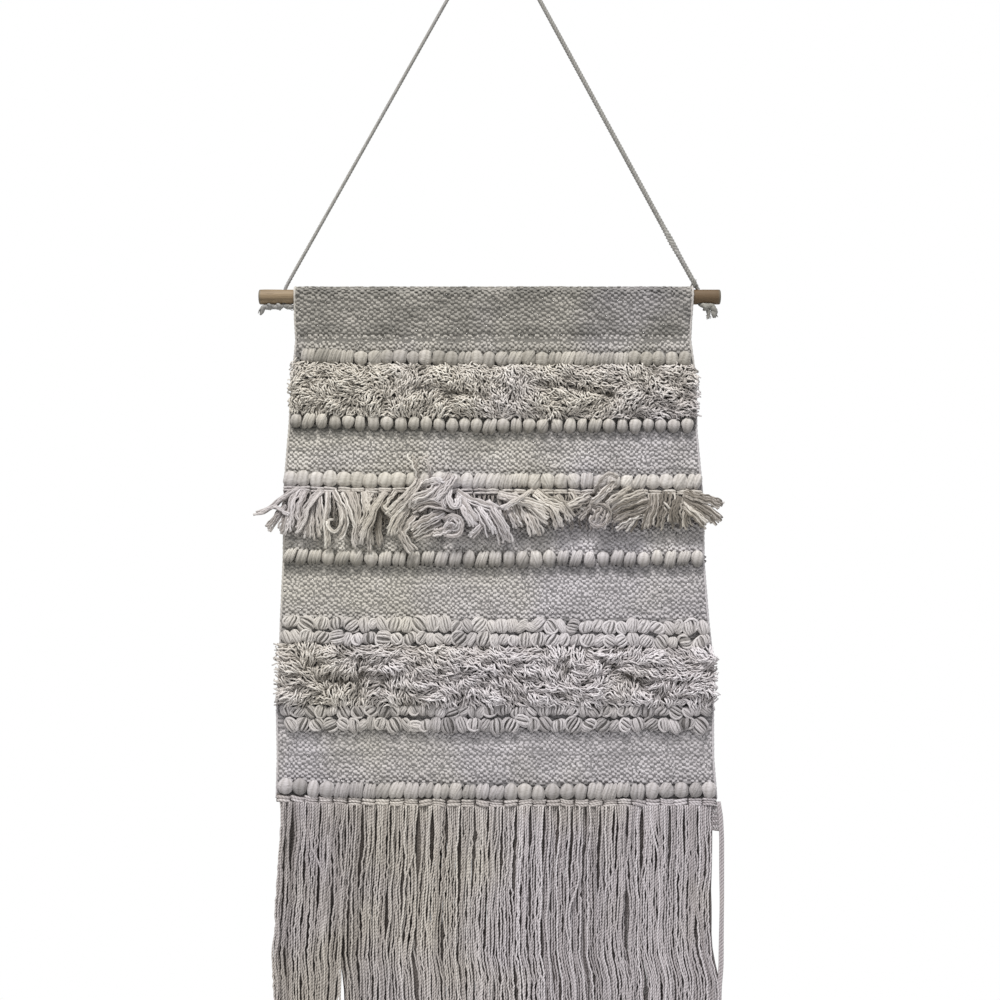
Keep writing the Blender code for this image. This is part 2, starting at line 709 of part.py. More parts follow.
def make_long_fringe():
    """The long fringe below the panel, with a woven tab and a loose strand at its right."""
    shape = bmesh.new()
    chance = random.Random(8)
    bottom = LONG_BAR_TOP + LONG_BAR_HEIGHT
    edges = staggered(LONG_STRANDS, FRONT_SHARE)
    places = [fringe_x(bottom, across) for across in edges]
    for first in (TAB[0], OUTER_STRAND[0]):
        places += [first.x - first.width / 2, first.x + first.width / 2]
    sections = []
    for x in places:
        back = cloth_middle(x, CLOTH_BOTTOM)
        sections.append(bar_section(x, back, LONG_BAR_DEPTH, LONG_BAR_TOP, LONG_BAR_HEIGHT))
    main = range(len(edges) - 1)
    tab_cell, outer_cell = len(edges), len(edges) + 2
    fronts, bottoms = knot_bar(shape, sections, set(main[::2]), set(main[1::2]) | {tab_cell, outer_cell})
    for cell in main:
        across = (edges[cell] + edges[cell + 1]) / 2
        sway = chance.uniform(-1, 1) * STRAND_SWAY
        end = FRINGE_END + chance.uniform(-1, 0.4) * FRINGE_UNEVEN
        hang = cloth_middle(fringe_x(bottom, across), CLOTH_BOTTOM)
        if cell in fronts:
            stops = zip(FRONT_STRAND_PLACES, (bottom + FRONT_STRAND_START, FRINGE_MIDDLE, end))
            corners, sizes = fronts[cell], FRONT_STRAND_SIZES
        else:
            stops = zip(BACK_STRAND_PLACES, (bottom + BACK_STRAND_START, end))
            corners, sizes = bottoms[cell], BACK_STRAND_SIZES
        path = [(fringe_x(drop, across) + sway, hang + y, height(drop)) for y, drop in stops]
        grow(shape, corners, path, sizes)
    for cell, points in ((tab_cell, TAB), (outer_cell, OUTER_STRAND)):
        path = [(point.x, -LONG_BAR_DEPTH / 2, height(point.drop)) for point in points[1:]]
        grow(shape, bottoms[cell], path, [(point.width, OUTER_DEPTH) for point in points[1:]])
    return mesh_object("long_fringe", shape, "fringe_yarn")


def main():
    """Builds the wall hanging, from the rod and its cord down to the long fringe."""
    clear_scene()
    make_rod()
    make_cord()
    make_knot("cord_knot_left", LEFT_KNOT)
    make_knot("cord_knot_right", RIGHT_KNOT)
    make_cloth()
    for row in ROWS:
        make_row(row)
    for shag in SHAGS:
        make_shag(shag)
    make_middle_fringe()
    make_long_fringe()


main()
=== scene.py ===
"""Dresses the woven macrame wall hanging: rod, cord, cloth, rows, pile and fringes.

Metres, +Z up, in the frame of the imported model. The origin is where the cord rests on its
nail and the front faces -Y. A drop is a depth below the rod's axis, and a share across runs
from 0 at the cloth's left edge to 1 at its right edge.
"""

import logging
import math
from dataclasses import dataclass, field
from enum import Enum

import bpy
import numpy as np
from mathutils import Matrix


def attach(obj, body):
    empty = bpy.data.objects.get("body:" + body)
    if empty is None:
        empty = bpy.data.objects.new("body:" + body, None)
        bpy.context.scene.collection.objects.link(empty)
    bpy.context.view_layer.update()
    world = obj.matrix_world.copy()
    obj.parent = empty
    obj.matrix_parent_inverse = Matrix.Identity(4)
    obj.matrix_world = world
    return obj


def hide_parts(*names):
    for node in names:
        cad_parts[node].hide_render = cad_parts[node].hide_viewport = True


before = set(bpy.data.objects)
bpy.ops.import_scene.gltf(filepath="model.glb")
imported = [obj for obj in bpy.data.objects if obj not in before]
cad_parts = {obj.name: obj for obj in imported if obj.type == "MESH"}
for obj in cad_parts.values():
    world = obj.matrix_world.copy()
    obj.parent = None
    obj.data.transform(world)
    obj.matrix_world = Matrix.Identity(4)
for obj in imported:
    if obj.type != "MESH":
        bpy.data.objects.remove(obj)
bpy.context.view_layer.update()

log = logging.getLogger("wall_hanging")

ROD_Z = -0.3888
ROD_ENDS = (-0.2372, 0.2288)
PLACES = (0.0, 0.14, 0.5, 1.0)
TO_THE_FRONT = np.array([0.0, -1.0, 0.0])
TWO_PI = 2 * math.pi

Pair = tuple[float, float]
Triple = tuple[float, float, float]
Colour = Triple
Table = tuple[tuple[float, ...], ...]
Array = np.ndarray
Chance = np.random.Generator
Socket = bpy.types.NodeSocket
Material = bpy.types.Material
Object = bpy.types.Object


def read_off(table: Table, at: Array | float) -> list[Array]:
    """Reads a table whose first column is the place and whose other columns are values.

    Args:
        table: Rows in order of their first column.
        at: The places to read at.

    Returns:
        One array for each further column.
    """
    columns = np.array(table, float).T
    return [np.interp(at, columns[0], column) for column in columns[1:]]


def rise(value: Array | float, start: float, end: float) -> Array:
    """A smooth rise from 0 at start to 1 at end."""
    share = np.clip((np.asarray(value, float) - start) / (end - start), 0, 1)
    return share * share * (3 - 2 * share)


def hump(value: Array, middle: float, half: float) -> Array:
    """A smooth hump that is 1 at its middle and near 0 past twice its half width."""
    return np.exp(-(((value - middle) / half) ** 2))


@dataclass(frozen=True)
class Drift:
    """Smooth change from place to place, between about -1 and 1, the same in each run."""

    seed: int
    size: float

    def at(self, x: Array, z: Array) -> Array:
        """The change at these places.

        Args:
            x: One coordinate of the places.
            z: The other.

        Returns:
            The change, in the shape of the two together.
        """
        chance = np.random.default_rng(self.seed)
        total = np.zeros(np.broadcast(x, z).shape)
        for _ in range(7):
            angle, shift, stretch = chance.uniform((0, 0, 0.6), (TWO_PI, TWO_PI, 1.6))
            turns = TWO_PI / (self.size * stretch)
            total += np.sin(turns * (x * math.cos(angle) + z * math.sin(angle)) + shift)
        return total / 3


def unit(vectors: Array) -> Array:
    """The same directions with length 1."""
    return vectors / np.maximum(np.linalg.norm(vectors, axis=-1, keepdims=True), 1e-12)


def curve_through(points: Array, count: int) -> Array:
    """Places at even steps along a smooth curve through points.

    Args:
        points: Two or more points, which may carry further columns after their X, Y and Z.
        count: How many places to give.

    Returns:
        An array of count rows with as many columns as the points.
    """
    knots = np.vstack([2 * points[0] - points[1], points, 2 * points[-1] - points[-2]])
    share = np.linspace(0, 1, 12, endpoint=False)[:, None]
    fine = []
    for before, start, end, after in zip(knots, knots[1:], knots[2:], knots[3:]):
        pull = (end - before) * share + (2 * before - 5 * start + 4 * end - after) * share**2
        turn = (3 * start - before - 3 * end + after) * share**3
        fine.append(start + 0.5 * (pull + turn))
    fine = np.vstack(fine + [knots[-2]])
    along = lengths_along(fine[:, :3])
    places = np.linspace(0, along[-1], count)
    return np.stack([np.interp(places, along, column) for column in fine.T], axis=1)


def bowed(start: Array, first: Array, second: Array, end: Array, count: int) -> Array:
    """Cubic arcs, one for each row of the four arrays.

    Args:
        start: Where each arc starts.
        first: Its first control point.
        second: Its second control point.
        end: Where it ends.
        count: The number of stations.

    Returns:
        An array of arcs x count x 3.
    """
    share = np.linspace(0, 1, count)[None, :, None]
    back = 1 - share
    parts = [point[:, None, :] for point in (start, first, second, end)]
    near = back**3 * parts[0] + 3 * back**2 * share * parts[1]
    return near + 3 * back * share**2 * parts[2] + share**3 * parts[3]


def lengths_along(points: Array) -> Array:
    """The length along a line from its first point to each of its points."""
    return np.concatenate([[0], np.cumsum(np.linalg.norm(np.diff(points, axis=0), axis=1))])


def drop_at(drops: tuple[float, ...], across: Array | float) -> Array:
    """The drop at shares across of a row whose drops are given at PLACES."""
    return np.interp(across, PLACES, drops)


def uneven_edges(
    chance: Chance,
    count: int,
    sizes: Pair,
    ends: Pair,
) -> Array:
    """Shares across of the sides of things that stand side by side and differ in width.

    Args:
        chance: The row's random numbers.
        count: How many things there are.
        sizes: The least and the greatest width, relative to each other.
        ends: Where the row starts and ends.

    Returns:
        The left side of each thing, and the right side of the last.
    """
    widths = chance.uniform(*sizes, count)
    edges = np.concatenate([[0], np.cumsum(widths)]) / widths.sum()
    return ends[0] + (ends[1] - ends[0]) * edges


def link(name: str, data: bpy.types.ID) -> Object:
    """Makes an object of a mesh, light or camera and links it to the scene."""
    thing = bpy.data.objects.new(name, data)
    bpy.context.scene.collection.objects.link(thing)
    return thing


class Yarns:
    """Closed tubes of yarn that are gathered to be one mesh."""

    def __init__(self) -> None:
        """Starts with nothing gathered."""
        self.points: list[Array] = []
        self.tints: list[Array] = []
        self.faces: list[Array] = []
        self.threads: list[Array] = []
        self.total = 0

    def lay(
        self,
        centres: Array,
        width: Array | float,
        depth: Array | float | None = None,
        facing: Array = TO_THE_FRONT,
        sides: int = 5,
        tint: Array | float = 0.5,
        turned: float = 0.5,
    ) -> None:
        """Adds tubes that have the same number of stations.

        Args:
            centres: Tubes x stations x 3, or the stations of a single tube.
            width: Half the width across the facing direction, for each tube and station.
            depth: Half the size along the facing direction, or None for a round yarn.
            facing: The direction that the tube's depth is measured in.
            sides: The number of sides.
            tint: How pale each yarn is, from 0 to 1.
            turned: How far the first corner is turned, as a share of a side.
        """
        if centres.ndim == 2:
            centres = centres[None]
        count, stations, _ = centres.shape
        ahead = unit(np.gradient(centres, axis=1))
        facing = np.broadcast_to(facing, centres.shape)
        side = unit(np.cross(ahead, facing))
        out = np.cross(side, ahead)
        angles = TWO_PI * (np.arange(sides) + turned) / sides
        depth = width if depth is None else depth
        across = np.broadcast_to(width, (count, stations))[..., None, None] * side[:, :, None]
        forward = np.broadcast_to(depth, (count, stations))[..., None, None] * out[:, :, None]
        ring = across * np.cos(angles)[:, None] + forward * np.sin(angles)[:, None]
        self.points.append((centres[:, :, None] + ring).reshape(-1, 3))
        tint = np.broadcast_to(tint, (count, stations))[..., None]
        self.tints.append(np.broadcast_to(tint, (count, stations, sides)).reshape(-1))

        index = self.total + np.arange(count * stations * sides).reshape(count, stations, sides)
        self.add_faces(index, np.linalg.norm(np.diff(centres, axis=1), axis=2).cumsum(axis=1))
        self.total += count * stations * sides

    def add_faces(self, index: Array, length: Array) -> None:
        """Adds the sides and ends of tubes with their thread map.

        The map runs along the yarn in metres, from a start of its own for each tube, and once
        round it.

        Args:
            index: The numbers of the corners, as tubes x stations x sides.
            length: The length along each tube at each station after the first.
        """
        count, stations, sides = index.shape
        after = np.roll(index, -1, axis=2)
        quads = np.stack([index[:, :-1], index[:, 1:], after[:, 1:], after[:, :-1]], axis=-1)
        self.faces.append(quads.reshape(-1, 4))
        begins = np.sin((self.total + np.arange(count)[:, None]) * 12.99) * 437.6 % 1.0
        length = np.concatenate([begins, begins + length], axis=1)[..., None]
        u_low = np.broadcast_to(length[:, :-1], (count, stations - 1, sides))
        u_high = np.broadcast_to(length[:, 1:], (count, stations - 1, sides))
        v_low = np.broadcast_to(np.arange(sides) / sides, u_low.shape)
        v_high = v_low + 1 / sides
        corners = ((u_low, v_low), (u_high, v_low), (u_high, v_high), (u_low, v_high))
        thread = np.stack([np.stack(corner, axis=-1) for corner in corners], axis=3)
        self.threads.append(thread.reshape(-1, 2))
        for ring_of in (index[:, 0], index[:, -1, ::-1]):
            self.faces.append(ring_of)
            self.threads.append(np.zeros((count * sides, 2)))

    def mesh(self, name: str) -> bpy.types.Mesh:
        """Makes the mesh of all that is gathered.

        Args:
            name: The mesh's name.

        Returns:
            The mesh with its thread map and its tints.
        """
        mesh = bpy.data.meshes.new(name)
        corners = np.concatenate([faces.reshape(-1) for faces in self.faces])
        sizes = np.concatenate([np.full(len(faces), faces.shape[1]) for faces in self.faces])
        starts = np.concatenate([[0], np.cumsum(sizes)[:-1]])
        mesh.vertices.add(self.total)
        mesh.vertices.foreach_set("co", np.concatenate(self.points).reshape(-1))
        mesh.loops.add(len(corners))
        mesh.loops.foreach_set("vertex_index", corners.astype(np.int32))
        mesh.polygons.add(len(sizes))
        mesh.polygons.foreach_set("loop_start", starts.astype(np.int32))
        mesh.polygons.foreach_set("use_smooth", np.ones(len(sizes), bool))
        thread = mesh.uv_layers.new(name="thread")
        thread.data.foreach_set("uv", np.concatenate(self.threads).reshape(-1))
        tint = mesh.attributes.new("tint", "FLOAT", "POINT")
        tint.data.foreach_set("value", np.concatenate(self.tints))
        mesh.update(calc_edges=True)
        mesh.validate()
        return mesh


class Slot(Enum):
    """The record's material slots."""

    ROD = "rod"
    CORD = "cord"
    CLOTH = "ground_cloth"
    ROVING = "roving"
    PILE = "pile_yarn"
    FRINGE = "fringe_yarn"


class NodeBoard:
    """A new material and short ways to wire its nodes."""

    def __init__(self, name: str, roughness: float) -> None:
        """Opens the material and keeps its shader.

        Args:
            name: The material's name.
            roughness: The shader's roughness.
        """
        self.material = bpy.data.materials.new(name)
        self.material.use_nodes = True
        self.tree = self.material.node_tree
        self.shader = self.tree.nodes["Principled BSDF"]
        self.shader.inputs["Roughness"].default_value = roughness

    def add(self, kind: str, inputs: dict | None = None, **settings) -> bpy.types.Node:
        """Adds a node.

        Args:
            kind: The node's type, without the words ShaderNode.
            inputs: A value or a socket to link, for each input by name or number.
            settings: The node's own settings.

        Returns:
            The new node.
        """
        node = self.tree.nodes.new("ShaderNode" + kind)
        for key, value in settings.items():
            setattr(node, key, value)
        for key, value in (inputs or {}).items():
            if isinstance(value, Socket):
                self.tree.links.new(value, node.inputs[key])
            else:
                node.inputs[key].default_value = value
        return node

    def calc(self, operation: str, *values: object) -> Socket:
        """One Math node on values or sockets."""
        return self.add("Math", dict(enumerate(values)), operation=operation).outputs[0]

    def noise(self, place: Socket, scale: float, detail: float, **more: float) -> Socket:
        """The value of a noise at a place."""
        return self.add("TexNoise", {"Vector": place, "Scale": scale, "Detail": detail, **more}).outputs[0]

    def ramp(self, factor: Socket, stops: list[tuple[float, Colour]]) -> Socket:
        """Adds a colour ramp.

        Args:
            factor: What the ramp is read at.
            stops: The place and the colour of each stop.

        Returns:
            The colour.
        """
        node = self.add("ValToRGB", {0: factor})
        bar = node.color_ramp.elements
        while len(bar) < len(stops):
            bar.new(0.5)
        for stop, (place, colour) in zip(bar, stops):
            stop.position = place
            stop.color = (*colour, 1)
        return node.outputs["Color"]

    def mix(self, factor: object, first: object, second: object, way: str = "MIX") -> Socket:
        """Mixes two colours.

        Args:
            factor: How much of the second there is, as a value or a socket.
            first: The first colour or socket.
            second: The second colour or socket.
            way: The node's way of mixing.

        Returns:
            The mixed colour.
        """
        node = self.add("Mix", data_type="RGBA", blend_type=way)
        for key, value in ((0, factor), (6, first), (7, second)):
            if isinstance(value, Socket):
                self.tree.links.new(value, node.inputs[key])
            else:
                node.inputs[key].default_value = (*value, 1) if isinstance(value, tuple) else value
        return node.outputs[2]

    def finish(self, colour: Socket, height: Socket, reach: float) -> Material:
        """Links the colour and the bump to the shader.

        Args:
            colour: The base colour.
            height: The height that the bump is read from.
            reach: How many metres a height of 1 is.

        Returns:
            The material.
        """
        bump = self.add("Bump", {"Height": height, "Distance": reach, "Strength": 1.0})
        self.tree.links.new(colour, self.shader.inputs["Base Color"])
        self.tree.links.new(bump.outputs[0], self.shader.inputs["Normal"])
        return self.material


@dataclass(frozen=True)
class CottonFinish:
    """Cotton yarn: plies, fibres, a spread of greys from yarn to yarn, and warm and cool patches.

    Deep, middle and pale are the colours at a tint of 0, 0.5 and 1. The turns are a ply's turns
    in a metre, and twist and fibre are how high plies and fibres stand. Lean and fall are how
    much cooler it gets to the right and downwards. Below the first height of the grain it takes
    the groove painted shade, a painted shade in the hollows between plies and fibres, and above
    the second its full colour.
    """

    name: str
    deep: Colour
    middle: Colour
    pale: Colour
    warm: Colour = (1.025, 1.0, 0.94)
    cool: Colour = (0.99, 0.97, 1.045)
    turns: float = 150.0
    plies: int = 2
    twist: float = 0.55
    fibre: float = 0.45
    fibre_size: Triple = (260.0, 9.0, 40.0)
    reach: float = 0.0006
    roughness: float = 0.92
    sheen: float = 0.2
    patch: float = 7.0
    lean: float = 0.0
    fall: float = 0.5
    fuzz: float = 900.0
    middle_z: float = -0.64
    grain: Pair = (0.12, 0.62)
    groove_painted_shade: Colour = (0.7, 0.69, 0.67)

    def make(self) -> Material:
        """Wires the material.

        Returns:
            The new material.
        """
        board = NodeBoard(self.name, self.roughness)
        board.shader.inputs["Sheen Weight"].default_value = self.sheen
        board.shader.inputs["Sheen Roughness"].default_value = 0.6
        board.shader.inputs["Specular IOR Level"].default_value = 0.15
        place = board.add("TexCoord").outputs["Object"]
        tint = board.add("Attribute", attribute_name="tint").outputs["Fac"]
        height = self.wire_height(board, place, tint)
        base = board.ramp(tint, [(0.0, self.deep), (0.5, self.middle), (1.0, self.pale)])
        # Painted shade: the hollows between plies and fibres are darkened.
        shade = board.ramp(height, [(self.grain[0], self.groove_painted_shade), (self.grain[1], (1.0, 1.0, 1.0))])
        patched = board.mix(1.0, base, self.wire_patches(board, place), "MULTIPLY")
        return board.finish(board.mix(1.0, patched, shade, "MULTIPLY"), height, self.reach)

    def wire_height(self, board: NodeBoard, place: Socket, tint: Socket) -> Socket:
        """Wires the height of the plies, fibres and fuzz.

        Args:
            board: Takes the nodes.
            place: The place on the piece.
            tint: The tint, so that yarns side by side have other fibres.

        Returns:
            The height.
        """
        thread = board.add("SeparateXYZ", {0: board.add("UVMap", uv_map="thread").outputs[0]}).outputs
        around = board.calc("MULTIPLY", thread[1], float(self.plies))
        turned = board.calc("MULTIPLY_ADD", thread[0], self.turns, around)
        ridge = board.calc("ABSOLUTE", board.calc("SINE", board.calc("MULTIPLY", turned, math.pi)))
        sized = zip((thread[0], thread[1], tint), self.fibre_size)
        fibres = board.add("CombineXYZ", dict(enumerate(board.calc("MULTIPLY", *pair) for pair in sized)))
        streak = board.noise(fibres.outputs[0], 1.0, 3.0)
        fuzz = board.noise(place, self.fuzz, 2.0)
        rough = board.calc("MULTIPLY_ADD", fuzz, 0.5, board.calc("MULTIPLY", streak, 0.8))
        return board.calc("MULTIPLY_ADD", ridge, self.twist, board.calc("MULTIPLY", rough, self.fibre))

    def wire_patches(self, board: NodeBoard, place: Socket) -> Socket:
        """Wires the warm and cool patches.

        Args:
            board: Takes the nodes.
            place: The place on the piece.

        Returns:
            The colour to multiply by.
        """
        patches = board.noise(place, self.patch, 2.0, Roughness=0.6)
        spot = board.add("SeparateXYZ", {0: place}).outputs
        lower = board.calc("MULTIPLY", board.calc("SUBTRACT", self.middle_z, spot[2]), self.fall)
        leaning = board.calc("ADD", board.calc("MULTIPLY_ADD", spot[0], self.lean, patches), lower)
        return board.ramp(leaning, [(0.36, self.warm), (0.62, self.cool)])


@dataclass(frozen=True)
class WoodFinish:
    """Raw wood turned to a dowel: long grain, pores, darker ends and rubbed rims."""

    name: str = "dowel_wood"
    pale: Colour = (0.275, 0.202, 0.124)
    dark: Colour = (0.094, 0.056, 0.026)
    grey: Colour = (0.17, 0.165, 0.14)
    grain_size: Triple = (9.0, 330.0, 330.0)
    pore_size: Triple = (60.0, 1500.0, 1500.0)
    palest: float = 1.14

    def make(self) -> Material:
        """Wires the material.

        Returns:
            The new material.
        """
        board = NodeBoard(self.name, 0.55)
        board.shader.inputs["Specular IOR Level"].default_value = 0.35
        place = board.add("TexCoord").outputs["Object"]
        along = board.add("SeparateXYZ", {0: place}).outputs[0]
        long_grain = board.add("Mapping", {"Vector": place, "Scale": self.grain_size}).outputs[0]
        grain = board.noise(long_grain, 1.0, 5.0, Roughness=0.65)
        pore_map = board.add("Mapping", {"Vector": place, "Scale": self.pore_size}).outputs[0]
        pores = board.noise(pore_map, 1.0, 2.0)
        palest = tuple(self.palest * part for part in self.pale)
        streaks = board.ramp(grain, [(0.30, self.dark), (0.48, self.pale), (0.66, palest)])
        blotch = board.noise(place, 28.0, 3.0)
        # The wood is made darker towards its right end, with blotches.
        browner = board.calc("MULTIPLY_ADD", along, 2.0, board.calc("MULTIPLY", blotch, 0.6))
        darker_right_blotched = board.mix(board.calc("MULTIPLY", browner, 1.1), streaks, self.dark)
        from_left = board.calc("SUBTRACT", along, ROD_ENDS[0])
        from_end = board.calc("MINIMUM", from_left, board.calc("SUBTRACT", ROD_ENDS[1], along))
        near_end = board.calc("MULTIPLY", from_end, 330.0)
        worn = board.ramp(near_end, [(0.0, (1.0, 1.0, 1.0)), (0.9, (0.0, 0.0, 0.0))])
        rubbed = board.calc("MULTIPLY", board.add("RGBToBW", {0: worn}).outputs[0], 0.9)
        colour = board.mix(rubbed, darker_right_blotched, self.grey)
        dots = board.ramp(pores, [(0.30, (0.55, 0.55, 0.55)), (0.40, (0.0, 0.0, 0.0))])
        height = board.calc("MULTIPLY_ADD", pores, 0.5, grain)
        return board.finish(board.mix(dots, colour, self.dark), height, 0.0004)


@dataclass(frozen=True)
class FloorFinish:
    """A pale matt floor with a faint mottle."""

    name: str = "pale_floor"
    low: Colour = (0.74, 0.74, 0.73)
    high: Colour = (0.8, 0.8, 0.79)

    def make(self) -> Material:
        """Wires the material.

        Returns:
            The new material.
        """
        board = NodeBoard(self.name, 0.8)
        mottle = board.noise(board.add("TexCoord").outputs["Object"], 14.0, 4.0)
        return board.finish(board.ramp(mottle, [(0.3, self.low), (0.7, self.high)]), mottle, 0.0003)


GROUND = CottonFinish(
    "ground_yarn",
    (0.15, 0.147, 0.138), (0.53, 0.515, 0.495), (0.8, 0.785, 0.76),
    turns=170, twist=0.3, fibre=0.7, lean=0.6,
)
ROVING = CottonFinish(
    "roving_yarn",
    (0.26, 0.25, 0.23), (0.57, 0.55, 0.52), (0.81, 0.79, 0.75),
    turns=38, plies=6, twist=0.32, fibre=0.75, reach=0.0012, lean=0.4, fuzz=620, grain=(0.46, 0.84),
)
LOOPS = CottonFinish(
    "loop_yarn",
    (0.15, 0.142, 0.13), (0.6, 0.58, 0.55), (0.84, 0.82, 0.785),
    turns=190, lean=0.6,
)
PILE = CottonFinish(
    "pile_cotton",
    (0.15, 0.134, 0.112), (0.7, 0.668, 0.628), (0.92, 0.897, 0.86),
    turns=210, lean=0.9,
)
BRUSHED = CottonFinish(
    "brushed_yarn",
    (0.2, 0.18, 0.155), (0.56, 0.53, 0.49), (0.84, 0.82, 0.78),
    turns=190, fall=0.2,
)
HANGING = CottonFinish(
    "fringe_cotton",
    (0.075, 0.062, 0.055), (0.47, 0.44, 0.425), (0.74, 0.71, 0.69),
    turns=300, twist=0.6, reach=0.0008, lean=0.8, fall=0.3, middle_z=-0.8, grain=(0.3, 0.8),
)
CORD_END = CottonFinish(
    "cord_end_cotton",
    (0.2, 0.2, 0.19), (0.3, 0.3, 0.285), (0.42, 0.42, 0.4),
    turns=330, reach=0.0003,
)
CORD = CottonFinish(
    "cord_cotton",
    (0.29, 0.29, 0.288), (0.36, 0.36, 0.358), (0.44, 0.44, 0.438),
    turns=330, reach=0.0003,
)


def add_piece(
    yarns: Yarns,
    name: str,
    finish: Material,
    replaces: tuple[str, ...] = (),
) -> Object:
    """Links what is gathered as one piece that rides on the hanging.

    Args:
        yarns: The gathered tubes.
        name: The piece's name.
        finish: Its material.
        replaces: The CAD nodes that it stands for.

    Returns:
        The new object.
    """
    mesh = yarns.mesh(name)
    mesh.materials.append(finish)
    return ride(link(name, mesh), replaces)


def ride(piece: Object, replaces: tuple[str, ...] = ()) -> Object:
    """Sets a piece on the one body.

    Args:
        piece: The piece.
        replaces: The CAD nodes that it stands for.

    Returns:
        The same piece.
    """
    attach(piece, "root")
    if replaces:
        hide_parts(*replaces)
    log.info("%s: %d faces", piece.name, len(piece.data.polygons))
    return piece


@dataclass(frozen=True)
class ClothForm:
    """Where the cloth is: its edges, its shallow waves, and its path up the panel and over the rod.

    A wave is its height, length and shift, and how it leans with the drop. The edges are rows of
    drop, left X and right X.
    """

    thickness: float = 0.003
    seam: float = 0.0389
    hem: float = 0.0459
    bottom: float = 0.5005
    around: float = 0.0081
    stations: int = 600
    waves_start: float = 0.045
    waves_full: float = 0.32
    waves: Table = ((0.0014, 0.31, 0.6, 1.5), (0.0007, 0.137, 2.1, -4.0))
    edges: Table = (
        (-0.011, -0.2013, 0.201), (0.0, -0.2009, 0.2008), (0.025, -0.2009, 0.1994),
        (0.044, -0.2001, 0.1988), (0.085, -0.2036, 0.2042), (0.135, -0.2062, 0.204),
        (0.186, -0.2098, 0.208), (0.22, -0.2102, 0.21), (0.266, -0.2101, 0.2095), (0.326, -0.2121, 0.2135),
        (0.37, -0.2128, 0.218), (0.414, -0.215, 0.2172), (0.46, -0.2136, 0.2168), (0.5005, -0.2142, 0.2196),
    )

    def edge_x(self, drop: Array | float, across: Array | float) -> Array:
        """The X of a share across at a drop."""
        left, right = read_off(self.edges, drop)
        return left + (right - left) * across

    def middle(self, x: Array, drop: Array | float) -> Array:
        """The Y of the middle of the panel's thickness.

        Args:
            x: Where to read it.
            drop: The drop there.

        Returns:
            The Y at each place.
        """
        total = 0.0
        for deep, length, shift, lean in self.waves:
            total = total + deep * np.sin(TWO_PI * x / length + shift + lean * np.asarray(drop))
        return rise(drop, self.waves_start, self.waves_full) * total

    def face(self, x: Array, drop: Array | float) -> Array:
        """The Y of the panel's front face."""
        return self.middle(x, drop) - self.thickness / 2

    def section(self) -> Array:
        """The cloth's middle line from its foot up the panel, over the rod and down to the hem.

        Returns:
            Rows of length along the line, Y, drop, and the outward direction's Y and Z.
        """
        slope = math.asin(self.around / self.seam)
        half = self.thickness / 2
        out = np.array([-math.cos(slope), math.sin(slope)])
        low = np.array([0.0, self.seam]) + out * half
        high = out * (self.around + half)
        up = [(0.0, drop) for drop in np.linspace(self.bottom, self.seam + 0.006, 60)]
        leg = [tuple(low + (high - low) * share) for share in np.linspace(0, 1, 12)]
        angles = np.linspace(-slope, math.pi + slope, 20)[1:-1]
        turn = [(-(self.around + half) * math.cos(a), -(self.around + half) * math.sin(a)) for a in angles]
        back = [(-y, drop) for y, drop in reversed(leg)]
        hem = [(0.0031, self.seam + 0.0030), (0.0034, self.hem)]
        line = np.array(up + leg + turn + back + hem)
        along = lengths_along(line)
        even = np.linspace(0, along[-1], self.stations)
        line = np.stack([np.interp(even, along, column) for column in line.T], axis=1)
        ahead = unit(np.gradient(line * (1, -1), axis=0))
        return np.column_stack([even, line, -ahead[:, 1], ahead[:, 0]])


@dataclass
class Pick:
    """A run of weft picks: where it starts and ends along the cloth, its floats, tint, and the painted shade on
    stations that go under the warp.
    """

    name: str
    start: float
    end: float
    floats: int
    tint: float
    under_painted_shade: float = 0.02


